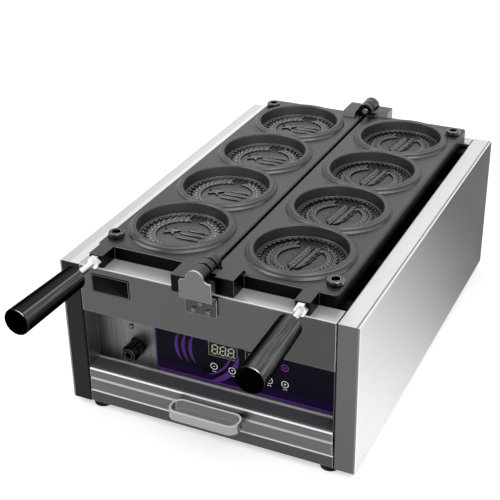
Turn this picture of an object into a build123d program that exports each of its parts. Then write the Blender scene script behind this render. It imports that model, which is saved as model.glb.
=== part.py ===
from build123d import *
import math
import os

# Coin waffle maker: two moulds with four round cups each, hinged like a book on a steel cabinet
# that holds the heating elements, the controls and a drip drawer. Millimetres.
# The pieces are drawn in the cabinet's frame: X to the right from the middle, Y back from the
# front face, Z up from under the floor. They are moved once, where they are written.

# Cabinet
cabinet_width = 363.0
cabinet_depth = 526.0
cabinet_height = 189.0
sheet = 1.2
bend_radius = 2.0
seam = 0.3
side_width = 25.9
cover_return = 2.6
ledge_depth = 28.0
rear_ledge_depth = 22.0
ledge_lip = 5.0
fascia_height = 61.5
fascia_return = 10.0
rear_flange_height = 66.0
rail_height = 17.0
floor_upturn = 15.0
foot_height = 8.0
foot_radius = 11.6
foot_top_radius = 12.0
foot_edge = 1.2
foot_inset_x = 34.0
foot_inset_y = 14.0
foot_recess_radius = 5.0
foot_recess_depth = 5.0
foot_screw_radius = 2.0
foot_screw_grip = 2.5
foot_screw_head_radius = 3.4
foot_screw_head_height = 2.2

# Back cover
back_cover_overlap = 16.0
back_cover_bottom = 8.0
back_cover_lap = 6.0
vent_count = 11
vent_rows = 2
vent_length = 34.0
vent_width = 5.0
vent_pitch = 20.0
vent_row_pitch = 46.0
back_cover_corner = 4.0
back_screw_inset = 9.0
back_screw_length = 8.0
back_screw_head_radius = 3.6
back_screw_head_height = 2.4

# Controls
recess_depth = 24.0
shelf_level = 50.5
recess_top_rise = 22.5
recess_top_return = 16.0
recess_side_clearance = 1.0
overlay_inset_left = 80.0
overlay_inset_right = 7.4
overlay_bottom = 54.8
overlay_top = 125.0
overlay_thickness = 0.8
display_width = 38.0
display_height = 20.0
display_inset = 136.1
display_gap = 8.0
display_bottom = 91.9
display_setback = 0.3
key_radius = 4.8
key_clearance = 0.25
key_flange = 1.3
key_flange_thickness = 1.2
key_proud = 0.4
key_travel = 0.4
key_inset = 147.6
key_pitch = 22.9
key_row_level = 78.8
start_key_inset = 59.6
start_key_level = 100.7
board_setback = 7.0
board_thickness = 1.6
board_margin = 14.0
switch_size = 6.0
switch_clearance = 0.15
standoff_radius = 3.0
gland_inset = 55.3
gland_level = 79.0
gland_length = 22.5
gland_radius = 10.6
gland_bore = 4.5
gland_thread_radius = 8.0
gland_thread_length = 9.0
gland_across_flats = 21.0
gland_hex_length = 5.0
gland_flute_count = 14
panel_screw_inset = 48.3
panel_screw_level = 104.5
panel_screw_length = 7.0
panel_screw_head_radius = 3.2
panel_screw_head_height = 2.2

# Drip drawer
drawer_gap = 1.0
drawer_front_bottom = 18.0
drawer_front_top = 48.4
drawer_swage_level = 34.6
drawer_swage_depth = 1.2
drawer_swage_width = 3.0
drawer_return = 12.0
tray_side_gap = 9.3
tray_back_space = 42.0
tray_wall = 1.0
tray_rim_level = 46.0
tray_flange = 6.0
handle_loop_width = 88.0
handle_loop_reach = 27.0
handle_loop_height = 12.0
handle_loop_thickness = 3.0
handle_loop_corner = 12.0
handle_loop_bottom = 28.4
handle_loop_x = 6.0
handle_screw_spacing = 56.0
handle_screw_head_radius = 3.6
handle_screw_head_height = 2.2
handle_screw_end_gap = 1.0

# Moulds
mould_clearance = 0.5
mould_gap = 3.0
mould_side_gap = 9.6
mould_front = 27.5
mould_back_space = 8.5
plate_height = 16.0
ring_height = 6.0
closing_gap = 0.3
plate_thickness = 5.5
skirt_wall = 5.5
plate_corner = 4.5
pocket_corner = 3.0
plate_edge = 2.5
cup_count = 4
cup_pitch = 115.3
cup_offset_x = 75.0
cup_radius = 53.7
cup_depth = 15.5
cup_draft = 1.3
cup_wall = 4.8
cup_edge = 0.8
ring_width = 5.6
ring_foot = 10.2
rib_thickness = 4.0

# Mould hinge
knuckle_radius = 10.5
hinge_pin_radius = 4.0
knuckle_gap = 3.0
hinge_running_clearance = 0.05
front_knuckle_lengths = (16.7, 10.0, 10.0)
rear_knuckle_lengths = (15.0, 9.0)
lug_bottom_clearance = 1.0
left_lug_outer = 30.0
right_lug_inner = 16.0
right_lug_outer = 38.0
lug_inner = 12.0
right_lug_front = 2.0
rear_lug_inside = 20.5
rear_right_lug_outer = 32.0
lug_slope = 7.0
notch_clearance = 1.5

# Hinge brackets
bracket_reach = 14.0
bracket_thickness = 2.0
bracket_half_width = 19.4
bracket_dome_radius = 11.0
bracket_shoulder_drop = 1.9
bracket_neck_radius = 5.0
bracket_shoulder_radius = 3.0
bracket_bend_radius = 1.5
bracket_fold_drop = 2.0
bracket_foot_drop = 27.6
bracket_screw_rise = 5.1
bracket_top_screw_rise = 14.6
bracket_screw_spacing = 18.0
bracket_screw_radius = 2.0
bracket_screw_length = 9.0
bracket_screw_head_radius = 3.8
bracket_screw_head_height = 2.6

# Levelling screws in the outer corners of the moulds, standing on the rest rails
levelling_inset_x = 11.5
levelling_inset_front = 22.5
levelling_inset_rear = 25.0
levelling_radius = 6.0
levelling_head_radius = 9.0
levelling_head_height = 9.0
levelling_socket = 10.0
levelling_socket_depth = 5.0
levelling_sink = 3.2
levelling_recess_clearance = 1.0
levelling_boss_radius = 12.0
rest_rail_drop = 6.0
rest_rail_width = 18.0
rest_rail_height = 23.0

# Handles
handle_drop = 8.0
left_handle_x = 133.0
right_handle_x = 116.5
handle_lug_width = 18.0
handle_lug_front = 2.5
handle_splay = 2.2
rod_radius = 4.0
rod_thread_depth = 15.0
left_rod_bare_length = 39.0
right_rod_bare_length = 34.5
rod_in_grip = 60.0
rod_end_gap = 1.0
grip_length = 105.5
grip_radius = 15.2
grip_rear_radius = 13.9
grip_rear_chamfer = 3.0
grip_edge = 2.0
handle_nut_flats = 13.0
handle_nut_thickness = 6.5
handle_nut_standoff = 0.4

# Heating
tube_radius = 4.0
tube_drop = 6.5
tube_inner_x = 40.0
tube_outer_x = 112.0
tube_front = 70.0
tube_inset_rear = 39.5
tube_bend = 22.0
tube_drop_bend = 12.0
terminal_drop = 22.0
terminal_pin_radius = 2.0
terminal_pin_length = 12.0
terminal_hole_radius = 7.0
bar_front = 150.0
bar_rear_inset = 141.0
bar_width = 16.0
bar_height = 14.0
strap_thickness = 1.2
strap_width = 10.0
strap_foot = 6.0
shield_drop = 39.0
shield_upturn = 8.0
shield_front = 42.0
drip_slot_width = 11.0
drip_slot_length = 92.0
drip_slot_pitch = 104.0
drip_slot_count = 4
bulkhead_y = 96.0
probe_radius = 2.5
probe_length = 110.0
cutout_radius = 8.0
cutout_height = 10.0
relay_size = (28.0, 22.0, 26.0)
relay_x = (40.0, 92.0)
relay_y = 60.0
terminal_block_size = (62.0, 20.0, 18.0)
terminal_block_x = -50.0

# Runners
runner_height = 14.0
runner_width = 7.0

# Values that follow from the ones above
mould_rear = cabinet_depth - mould_back_space
mould_length = mould_rear - mould_front
first_cup_y = mould_front + (mould_length - (cup_count - 1) * cup_pitch) / 2
inner_half = cabinet_width / 2 - side_width
bay_half = inner_half - seam
mould_bottom = cabinet_height + mould_clearance
mould_half_gap = mould_gap / 2
mould_outer = inner_half - mould_side_gap
plate_level = cabinet_height + plate_height
ring_level = plate_level + ring_height
hinge_level = ring_level + closing_gap / 2
lug_bottom = cabinet_height + lug_bottom_clearance
handle_level = plate_level - handle_drop
fascia_bottom = cabinet_height - fascia_height
recess_top = fascia_bottom + recess_top_rise
overlay_left = overlay_inset_left - bay_half
overlay_right = bay_half - overlay_inset_right
display_left_x = overlay_right - display_inset
key_first_x = overlay_right - key_inset
start_key_x = overlay_right - start_key_inset
gland_x = gland_inset - bay_half
panel_screw_x = panel_screw_inset - bay_half
tray_half_width = bay_half - tray_side_gap
tray_length = cabinet_depth - tray_back_space
bracket_fold_level = cabinet_height - bracket_fold_drop
bracket_foot_level = cabinet_height - bracket_foot_drop
bracket_screw_level = bracket_foot_level + bracket_screw_rise
bracket_top_screw_level = bracket_foot_level + bracket_top_screw_rise
front_bracket_face = bracket_thickness - bracket_reach
rear_bracket_face = cabinet_depth - front_bracket_face
rest_rail_level = cabinet_height - rest_rail_drop
tube_level = cabinet_height - tube_drop
tube_rear = mould_rear - tube_inset_rear
shield_level = cabinet_height - shield_drop
shield_rear = cabinet_depth - rear_ledge_depth
terminal_level = shield_level - terminal_drop
bar_positions = (bar_front, cabinet_depth - bar_rear_inset)
bar_top = tube_level - tube_radius - seam


def block(x0, x1, y0, y1, z0, z1):
    """A box between two corners."""
    return Pos(x0, y0, z0) * Box(x1 - x0, y1 - y0, z1 - z0, align=(Align.MIN,) * 3)


def rod_along(axis, x, y, z, radius, length):
    """A cylinder that starts at a point and runs along +X, +Y or +Z."""
    cylinder = Cylinder(radius, length, align=(Align.CENTER, Align.CENTER, Align.MIN))
    turn = {"X": Rot(0, 90, 0), "Y": Rot(-90, 0, 0), "Z": Rot(0, 0, 0)}[axis]
    return Pos(x, y, z) * turn * cylinder


def bent_sheet(points, thickness, half_length, radius=bend_radius):
    """Sheet bent along a line in the YZ plane, material on the right of its outer face."""
    line = FilletPolyline(*points, radius=radius)
    profile = make_face(offset(line, amount=thickness, side=Side.RIGHT))
    return extrude(Plane.YZ * profile, amount=half_length, both=True)


def bent_channel(points, thickness, y0, y1, radius=bend_radius):
    """Sheet bent along a line in the XZ plane, material on the right of its outer face."""
    line = FilletPolyline(*points, radius=radius)
    profile = make_face(offset(line, amount=thickness, side=Side.RIGHT))
    return extrude(Plane(origin=(0, y1, 0), x_dir=(1, 0, 0), z_dir=(0, -1, 0)) * profile, amount=y1 - y0)


def pattern(places, sketch):
    """One sketch with a copy of another at each place."""
    return Sketch() + [place * sketch for place in places]


def left_copy(shape):
    """The same piece on the left side."""
    return mirror(shape, about=Plane.YZ)


def pan_screw(radius, length, head_radius, head_height):
    """Domed screw along Z: shank below zero, head above."""
    dome = ThreePointArc((head_radius, head_height * 0.25), (head_radius * 0.72, head_height * 0.8),
                         (0, head_height))
    outline = Polyline((0, head_height), (0, -length), (radius, -length), (radius, 0),
                       (head_radius, 0), (head_radius, head_height * 0.25))
    screw = revolve(Plane.XZ * make_face(outline + dome), axis=Axis.Z)
    slot = Pos(0, 0, head_height) * Box(head_radius, head_height * 0.25, head_height * 0.9)
    return screw - slot - Rot(0, 0, 90) * slot


def hexagon(across_flats, thickness, bore):
    """Hexagonal nut along +Z, flats facing up and down once it lies along Y."""
    outline = RegularPolygon(across_flats / 2, 6, major_radius=False) - Circle(bore)
    nut = extrude(outline, amount=thickness)
    return nut & Cone(across_flats * 0.62, across_flats * 0.56, thickness,
                      align=(Align.CENTER, Align.CENTER, Align.MIN))


# Cabinet shell
def side_frame():
    """Right side frame: one shell with the inner wall, the top strip and the front post."""
    outer_x = cabinet_width / 2 - cover_return - seam
    shell = block(inner_half, outer_x, 0, cabinet_depth, 0, cabinet_height)
    bends = shell.edges().filter_by(Axis.Y).group_by(Axis.X)[0]
    bends += shell.edges().filter_by(Axis.Z).group_by(Axis.X)[0]
    shell = fillet(bends, bend_radius)
    shell = offset(shell, amount=-sheet, openings=shell.faces().sort_by(Axis.X)[-1])
    for level in back_screw_levels():
        shell -= rod_along("Y", back_screw_x(), cabinet_depth - 2 * sheet, level,
                           bracket_screw_radius + hinge_running_clearance, 4 * sheet)
    return shell


def side_cover():
    """Right outer skin: a shallow pan with its edge folded back all round."""
    pan = block(cabinet_width / 2 - cover_return, cabinet_width / 2, 0, cabinet_depth, 0,
                cabinet_height)
    bends = pan.edges().filter_by(Axis.Y).group_by(Axis.X)[-1]
    bends += pan.edges().filter_by(Axis.Z).group_by(Axis.X)[-1]
    pan = fillet(bends, bend_radius)
    return offset(pan, amount=-sheet, openings=pan.faces().sort_by(Axis.X)[0])


def base_pan():
    """Floor with the bottom front rail folded up and a low rear wall."""
    line = [(fascia_return, rail_height), (0, rail_height), (0, 0), (cabinet_depth - seam, 0),
            (cabinet_depth - seam, floor_upturn)]
    line.reverse()
    pan = bent_sheet(line, sheet, bay_half)
    for x, y in foot_places():
        pan -= rod_along("Z", x, y, -sheet, foot_screw_radius + hinge_running_clearance, 3 * sheet)
    return pan


def front_fascia():
    """Front band with the top ledge folded back and a return under it."""
    top = cabinet_height
    fascia = bent_sheet([(fascia_return, fascia_bottom), (0, fascia_bottom), (0, top),
                         (ledge_depth, top), (ledge_depth, top - ledge_lip)], sheet, bay_half)
    for x, level in bracket_screw_places():
        fascia -= rod_along("Y", x, -sheet, level, bracket_screw_radius + hinge_running_clearance,
                            4 * sheet)
    return fascia


def rear_ledge():
    """Top ledge at the back with the upper half of the rear wall."""
    top = cabinet_height
    back = cabinet_depth
    inside = back - rear_ledge_depth
    ledge = bent_sheet([(inside, top - ledge_lip), (inside, top), (back, top),
                        (back, top - rear_flange_height)], sheet, bay_half)
    for x, level in bracket_screw_places():
        ledge -= rod_along("Y", x, back - 3 * sheet, level,
                           bracket_screw_radius + hinge_running_clearance, 4 * sheet)
    return ledge


def back_cover_top():
    return cabinet_height - rear_flange_height + back_cover_lap


def back_screw_x():
    return inner_half + back_cover_overlap * 0.6


def back_screw_levels():
    low = back_cover_bottom + back_screw_inset
    high = back_cover_top() - back_screw_inset
    return [low, (low + high) / 2, high]


def back_panel():
    """Removable vented cover screwed on the back from outside."""
    half = inner_half + back_cover_overlap
    front = cabinet_depth + seam
    cover = block(-half, half, front, front + sheet, back_cover_bottom, back_cover_top())
    cover = fillet(cover.edges().filter_by(Axis.Y), back_cover_corner)
    middle = (back_cover_bottom + back_cover_top()) / 2
    face = Plane(origin=(0, front + 2 * sheet, middle), x_dir=(1, 0, 0), z_dir=(0, -1, 0))
    slots = pattern(GridLocations(vent_pitch, vent_row_pitch, vent_count, vent_rows),
                    Rot(0, 0, 90) * SlotOverall(vent_length, vent_width))
    cover -= extrude(face * slots, amount=3 * sheet)
    for side in (-1, 1):
        for level in back_screw_levels():
            cover -= rod_along("Y", side * back_screw_x(), front - sheet, level,
                               bracket_screw_radius + hinge_running_clearance, 3 * sheet)
    return cover


def back_panel_screws():
    screws = []
    for side in (-1, 1):
        for level in back_screw_levels():
            place = Pos(side * back_screw_x(), cabinet_depth + seam + sheet, level) * Rot(-90, 0, 0)
            screws.append(place * pan_screw(bracket_screw_radius, back_screw_length,
                                            back_screw_head_radius, back_screw_head_height))
    return screws


def foot_places():
    x = cabinet_width / 2 - foot_inset_x
    return [(sx * x, y) for y in (foot_inset_y, cabinet_depth - foot_inset_y) for sx in (-1, 1)]


def rubber_feet():
    feet = []
    for x, y in foot_places():
        foot = Cone(foot_radius, foot_top_radius, foot_height,
                    align=(Align.CENTER, Align.CENTER, Align.MAX))
        foot = fillet(foot.edges().sort_by(Axis.Z)[0], foot_edge)
        foot -= rod_along("Z", 0, 0, -foot_height, foot_recess_radius, foot_recess_depth)
        foot -= rod_along("Z", 0, 0, -foot_height, foot_screw_radius + hinge_running_clearance,
                          foot_height)
        feet.append(Pos(x, y, 0) * foot)
    return feet


def foot_screws():
    length = foot_height + foot_screw_grip - foot_recess_depth
    screws = []
    for x, y in foot_places():
        screw = pan_screw(foot_screw_radius, length, foot_screw_head_radius, foot_screw_head_height)
        screws.append(Pos(x, y, -foot_height + foot_recess_depth) * Rot(180, 0, 0) * screw)
    return screws


# Controls
def key_places():
    row = [(key_first_x + index * key_pitch, key_row_level) for index in range(4)]
    return row + [(start_key_x, key_row_level), (start_key_x, start_key_level)]


def display_places():
    step = display_width + display_gap
    return [display_left_x + index * step for index in range(2)]


def board_edges():
    """Left, right, bottom and top of the control board, from the keys and the displays."""
    left = display_left_x - display_width / 2 - board_margin
    right = start_key_x + board_margin
    return left, right, key_row_level - board_margin, display_bottom + display_height + board_margin / 2


def recess_panel():
    """Sunk control panel with the shelf in front of it and a cheek at each end."""
    panel = bent_sheet([(recess_side_clearance, shelf_level), (recess_depth, shelf_level),
                        (recess_depth, recess_top), (recess_depth + recess_top_return, recess_top)],
                       sheet, bay_half)
    cheek = block(bay_half - sheet, bay_half, recess_side_clearance, recess_depth + sheet / 2,
                  shelf_level - sheet / 2, fascia_bottom - recess_side_clearance)
    panel += cheek
    panel += left_copy(cheek)
    left, right, bottom, top = board_edges()
    inset = 2 * standoff_radius + 1.0
    panel -= block(left + inset, right - inset, recess_depth - sheet, recess_depth + 3 * sheet,
                   bottom + 4.0, top - 4.0)
    panel -= rod_along("Y", gland_x, recess_depth - sheet, gland_level,
                       gland_thread_radius + hinge_running_clearance, 4 * sheet)
    panel -= rod_along("Y", panel_screw_x, recess_depth - sheet, panel_screw_level,
                       bracket_screw_radius + hinge_running_clearance, 4 * sheet)
    return panel


def overlay_panel():
    """Thin keypad overlay with display windows and key holes."""
    back = recess_depth
    front = recess_depth - overlay_thickness
    overlay = block(overlay_left, overlay_right, front, back, overlay_bottom, overlay_top)
    overlay = fillet(overlay.edges().filter_by(Axis.Y), 2.0)
    window = 0.4
    for x in display_places():
        half = display_width / 2 + window
        overlay -= block(x - half, x + half, front - 1, back + 1, display_bottom - window,
                         display_bottom + display_height + window)
    for x, level in key_places():
        overlay -= rod_along("Y", x, front - 1, level, key_radius + key_clearance, 3.0)
    return overlay


def display(x):
    """Three digit display module standing on the control board."""
    front = recess_depth - overlay_thickness + display_setback
    module = block(x - display_width / 2, x + display_width / 2, front, recess_depth + board_setback,
                   display_bottom, display_bottom + display_height)
    return chamfer(module.edges().group_by(Axis.Y)[0], 0.5)


def key(x, level):
    """Round key cap with a flange that the overlay holds back."""
    front = recess_depth - overlay_thickness - key_proud
    flange_front = recess_depth + key_clearance
    cap = rod_along("Y", x, front, level, key_radius, flange_front - front)
    cap = fillet(cap.edges().sort_by(Axis.Y)[0], 0.3)
    return cap + rod_along("Y", x, flange_front, level, key_radius + key_flange, key_flange_thickness)


def control_board():
    """Printed board with one small switch behind each key."""
    left, right, bottom, top = board_edges()
    front = recess_depth + board_setback
    board = block(left, right, front, front + board_thickness, bottom, top)
    plunger = recess_depth + key_clearance + key_flange_thickness + key_travel + switch_clearance
    half = switch_size / 2
    for x, level in key_places():
        board += block(x - half, x + half, plunger + 1.0, front, level - half, level + half)
        board += rod_along("Y", x, plunger, level, 1.7, 1.5)
    return board


def board_standoffs():
    left, right, bottom, top = board_edges()
    posts = []
    back = recess_depth + sheet
    for x in (left + standoff_radius, right - standoff_radius):
        for level in (bottom + standoff_radius, top - standoff_radius):
            posts.append(rod_along("Y", x, back, level, standoff_radius,
                                   recess_depth + board_setback - back))
    return posts


def gland_place():
    """Centre of the cable gland on the panel's face, with Z pointing out to the front."""
    return Pos(gland_x, recess_depth, gland_level) * Rot(90, 0, 0)


def cable_gland():
    """Gland body: hexagon on the panel's face and a thread through the panel."""
    length = gland_thread_length + gland_hex_length / 2
    thread = Cylinder(gland_thread_radius, length, align=(Align.CENTER, Align.CENTER, Align.MAX))
    thread -= Cylinder(gland_bore, 3 * length)
    return gland_place() * (hexagon(gland_across_flats, gland_hex_length, gland_bore)
                            + Pos(0, 0, gland_hex_length / 2) * thread)


def gland_dome_nut():
    """Fluted dome nut screwed on the front of the gland body."""
    length = gland_length - gland_hex_length
    r = gland_radius
    profile = Polyline((gland_bore, 0), (r - 0.8, 0), (r, 1.0), (r, length * 0.72),
                       (r * 0.78, length), (gland_bore, length), (gland_bore, 0))
    dome = revolve(Plane.XZ * make_face(profile), axis=Axis.Z)
    flute = Pos(r + 0.6, 0, 1.5) * Cylinder(1.1, length,
                                            align=(Align.CENTER, Align.CENTER, Align.MIN))
    for index in range(gland_flute_count):
        dome -= Rot(0, 0, index * 360 / gland_flute_count) * flute
    return gland_place() * (Pos(0, 0, gland_hex_length) * dome)


def gland_locknut():
    nut = hexagon(gland_across_flats, gland_hex_length * 0.8,
                  gland_thread_radius + hinge_running_clearance)
    return Pos(gland_x, recess_depth + sheet, gland_level) * Rot(-90, 0, 0) * nut


def recess_screw():
    screw = pan_screw(bracket_screw_radius, panel_screw_length, panel_screw_head_radius,
                      panel_screw_head_height)
    return Pos(panel_screw_x, recess_depth, panel_screw_level) * Rot(90, 0, 0) * screw


# Heating and electrics
def heat_shield():
    """Tray under the elements, with slots at both sides that let drips fall to the drawer."""
    level = shield_level
    shield = bent_channel([(bay_half, level + shield_upturn), (bay_half, level), (-bay_half, level),
                           (-bay_half, level + shield_upturn)],
                          sheet, shield_front, shield_rear)
    slot_x = bay_half - 2 * sheet - drip_slot_width / 2 - bend_radius
    middle = (bulkhead_y + shield_rear) / 2
    slots = pattern(GridLocations(2 * slot_x, drip_slot_pitch, 2, drip_slot_count),
                    Rot(0, 0, 90) * SlotOverall(drip_slot_length, drip_slot_width))
    shield -= extrude(Pos(0, middle, level - 2 * sheet) * slots, amount=4 * sheet)
    for x in (tube_inner_x, tube_outer_x):
        for side in (-1, 1):
            shield -= rod_along("Z", side * x, tube_front, level - 2 * sheet, terminal_hole_radius,
                                4 * sheet)
    return shield


def bulkhead():
    """Floor and rear wall of the control compartment."""
    start = recess_depth + sheet + seam
    return bent_sheet([(start, shelf_level), (bulkhead_y, shelf_level),
                       (bulkhead_y, shield_level - sheet - seam)], sheet, bay_half)


def heating_element(side):
    """Bent tubular element: two long legs under one mould, both ends turned down."""
    inner = side * tube_inner_x
    outer = side * tube_outer_x
    flat = FilletPolyline((inner, tube_front + tube_drop_bend, tube_level),
                          (inner, tube_rear, tube_level), (outer, tube_rear, tube_level),
                          (outer, tube_front + tube_drop_bend, tube_level), radius=tube_bend)
    tube = sweep(Plane(origin=flat @ 0, z_dir=flat % 0) * Circle(tube_radius), path=flat)
    for x in (inner, outer):
        drop = FilletPolyline((x, tube_front + tube_drop_bend, tube_level), (x, tube_front, tube_level),
                              (x, tube_front, terminal_level), radius=tube_drop_bend * 0.98)
        tube += sweep(Plane(origin=drop @ 0, z_dir=drop % 0) * Circle(tube_radius), path=drop)
        tube += rod_along("Z", x, tube_front, terminal_level - terminal_pin_length,
                          terminal_pin_radius, terminal_pin_length)
    return tube


def element_bars():
    """Two angle bars across the cabinet that carry the elements."""
    bars = []
    for y in bar_positions:
        bars.append(bent_sheet([(y, bar_top - bar_height), (y, bar_top), (y + bar_width, bar_top)],
                               sheet, bay_half))
    return bars


def element_straps():
    """Saddle straps that hold each tube leg on the bars."""
    straps = []
    inner = tube_radius + seam
    outer = inner + strap_thickness
    base = -tube_radius - seam
    half = outer + strap_foot
    for y in bar_positions:
        for side in (-1, 1):
            for x in (side * tube_inner_x, side * tube_outer_x):
                arch = Circle(outer) + Pos(0, base / 2) * Rectangle(2 * outer, -base)
                arch += Pos(0, base + strap_thickness / 2) * Rectangle(2 * half, strap_thickness)
                arch -= Circle(inner)
                arch -= Pos(0, base) * Rectangle(2 * inner, -2 * base)
                arch -= Pos(0, base - tube_radius) * Rectangle(4 * half, 2 * tube_radius)
                middle = y + bar_width / 2 + strap_width / 2
                place = Plane(origin=(x, middle, tube_level), x_dir=(1, 0, 0), z_dir=(0, -1, 0))
                straps.append(extrude(place * arch, amount=strap_width))
    return straps


def rest_rail(y):
    """Inverted channel across the cabinet that the levelling screws stand on."""
    low = rest_rail_level - rest_rail_height
    half = rest_rail_width / 2
    return bent_sheet([(y - half, low), (y - half, rest_rail_level), (y + half, rest_rail_level),
                       (y + half, low)], sheet, bay_half)


def temperature_probes():
    start = bar_positions[0] - probe_length / 4
    return [rod_along("Y", side * cup_offset_x, start, bar_top + probe_radius + seam, probe_radius,
                      probe_length) for side in (-1, 1)]


def thermal_cutout():
    middle = (bar_positions[0] + bar_positions[1]) / 2
    base = shield_level + sheet
    body = rod_along("Z", 0, middle, base, cutout_radius, cutout_height)
    tabs = block(-cutout_radius * 0.9, cutout_radius * 0.9, middle - 3, middle + 3, base,
                 base + cutout_height + 5)
    tabs -= block(-cutout_radius * 0.5, cutout_radius * 0.5, middle - 4, middle + 4,
                  base + cutout_height, base + cutout_height + 6)
    return body + tabs


def power_relays():
    width, depth, height = relay_size
    relays = []
    for x in relay_x:
        case = block(x - width / 2, x + width / 2, relay_y, relay_y + depth, shelf_level,
                     shelf_level + height)
        relays.append(fillet(case.edges().filter_by(Axis.Z), 2.0))
    return relays


def terminal_block():
    width, depth, height = terminal_block_size
    left = terminal_block_x - width / 2
    strip = block(left, left + width, relay_y, relay_y + depth, shelf_level, shelf_level + height)
    step = width / 5
    for index in range(5):
        x = left + step * (index + 0.5)
        strip -= rod_along("Z", x, relay_y + depth / 2, shelf_level + height - 7, 2.6, 8.0)
    for index in range(1, 5):
        x = left + step * index
        strip -= block(x - 0.6, x + 0.6, relay_y - 1, relay_y + depth + 1,
                       shelf_level + height * 0.6, shelf_level + height + 1)
    return strip


# Drip drawer
def drawer_runner():
    """Right angle runner on the side wall that the tray's rim slides on."""
    top = tray_rim_level - tray_wall - seam
    return block(bay_half - sheet, bay_half, 2 * drawer_return, tray_length + drawer_gap,
                 top - runner_height, top) + block(bay_half - runner_width, bay_half - sheet,
                                                   2 * drawer_return, tray_length + drawer_gap,
                                                   top - sheet, top)


def tray_front():
    """Where the tray starts, just behind the deepest part of the swage line."""
    slope = math.hypot(drawer_swage_width / 2, drawer_swage_depth) / (drawer_swage_width / 2)
    return drawer_swage_depth + sheet * slope + seam


def drawer_tray():
    """Open drip tray with a rim folded out along both sides."""
    front = tray_front()
    tray = block(-tray_half_width, tray_half_width, front, front + tray_length,
                 drawer_front_bottom + sheet + seam, tray_rim_level)
    tray = fillet(tray.edges().filter_by(Axis.Z), 4.0)
    tray = fillet(tray.edges().group_by(Axis.Z)[0], 3.0)
    tray = offset(tray, amount=-tray_wall, openings=tray.faces().sort_by(Axis.Z)[-1])
    rim = block(tray_half_width - tray_wall / 2, tray_half_width + tray_flange, 2 * drawer_return,
                front + tray_length - 6.0, tray_rim_level - tray_wall, tray_rim_level)
    tray += rim
    tray += left_copy(rim)
    for x in handle_screw_places():
        tray -= rod_along("Y", x, front - 1, handle_middle(), bracket_screw_radius
                          + hinge_running_clearance, 4 * tray_wall)
    return tray


def drawer_front():
    """Drawer front with folded edges and a shallow swage line along its middle."""
    low = drawer_front_bottom
    high = drawer_front_top
    half_swage = drawer_swage_width / 2
    line = [(drawer_return, low), (0, low), (0, drawer_swage_level - half_swage),
            (drawer_swage_depth, drawer_swage_level), (0, drawer_swage_level + half_swage), (0, high),
            (drawer_return, high)]
    edge = Polyline(*line)
    profile = make_face(offset(edge, amount=sheet, side=Side.RIGHT, kind=Kind.INTERSECTION))
    front = extrude(Plane.YZ * profile, amount=bay_half - drawer_gap, both=True)
    front = fillet(front.edges().filter_by(Axis.X).group_by(Axis.Y)[0].sort_by(Axis.Z)[-1], 0.9)
    for x in handle_screw_places():
        front -= rod_along("Y", x, -1, handle_middle(), bracket_screw_radius
                           + hinge_running_clearance, 4 * sheet)
    return front


def handle_screw_places():
    return [handle_loop_x - handle_screw_spacing / 2, handle_loop_x + handle_screw_spacing / 2]


def handle_middle():
    return handle_loop_bottom + handle_loop_height / 2


def drawer_handle():
    """Flat strip bent to a closed loop, its back bar on the drawer front."""
    loop = RectangleRounded(handle_loop_width, handle_loop_reach, handle_loop_corner)
    inside = RectangleRounded(handle_loop_width - 2 * handle_loop_thickness,
                              handle_loop_reach - 2 * handle_loop_thickness,
                              handle_loop_corner - handle_loop_thickness)
    strip = extrude(loop - inside, amount=handle_loop_height)
    strip = fillet(strip.edges().filter_by(GeomType.LINE).filter_by(Axis.X), 0.6)
    strip = Pos(handle_loop_x, -handle_loop_reach / 2 - seam, handle_loop_bottom) * strip
    for x in handle_screw_places():
        strip -= rod_along("Y", x, -handle_loop_thickness - seam + 0.8, handle_middle(),
                           bracket_screw_radius + hinge_running_clearance, 2 * handle_loop_thickness)
    return strip


def drawer_handle_screws():
    screws = []
    face = tray_front() + tray_wall
    length = face + handle_loop_thickness + seam - handle_screw_end_gap
    for x in handle_screw_places():
        screw = pan_screw(bracket_screw_radius, length, handle_screw_head_radius,
                          handle_screw_head_height)
        screws.append(Pos(x, face, handle_middle()) * Rot(-90, 0, 0) * screw)
    return screws


# Hinge brackets and pins
def bracket_screw_places():
    side = bracket_screw_spacing / 2
    return [(-side, bracket_screw_level), (side, bracket_screw_level), (0, bracket_top_screw_level)]


def hinge_bracket():
    """Front bracket: domed plate, folded back under the hinge and down the fascia."""
    middle = -bracket_reach
    path = [(-seam - bracket_thickness, bracket_foot_level),
            (-seam - bracket_thickness, bracket_fold_level - bracket_thickness),
            (middle, bracket_fold_level - bracket_thickness),
            (middle, hinge_level + bracket_dome_radius)]
    line = FilletPolyline(*path, radius=bracket_bend_radius)
    profile = make_face(offset(line, amount=bracket_thickness, side=Side.RIGHT, kind=Kind.ARC))
    strip = extrude(Plane.YZ * profile, amount=bracket_half_width, both=True)
    shoulder = hinge_level - bracket_shoulder_drop
    plate = Pos(0, (bracket_foot_level + shoulder) / 2) * Rectangle(2 * bracket_half_width,
                                                                    shoulder - bracket_foot_level)
    plate = fillet(plate.vertices(), bracket_shoulder_radius)
    dome = Circle(bracket_dome_radius)
    rise = bracket_neck_radius - bracket_shoulder_drop
    reach = math.sqrt((bracket_dome_radius + bracket_neck_radius) ** 2 - rise ** 2)
    for side in (-1, 1):
        x = side * reach
        neck = make_face(Polyline((0, -bracket_shoulder_drop), (x, -bracket_shoulder_drop), (x, rise),
                                  (0, 0), (0, -bracket_shoulder_drop)))
        dome += neck - Pos(x, rise) * Circle(bracket_neck_radius)
    outline = plate + Pos(0, hinge_level) * dome
    bracket = strip & extrude(Plane.XZ * outline, amount=3 * bracket_reach, both=True)
    for x, level in bracket_screw_places():
        bracket -= rod_along("Y", x, -2 * bracket_thickness, level,
                             bracket_screw_radius + hinge_running_clearance, 3 * bracket_thickness)
    return bracket


def rear_copy(shape):
    """The front bracket or its screws, turned to face the back."""
    return Pos(0, cabinet_depth, 0) * mirror(shape, about=Plane.XZ)


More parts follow.
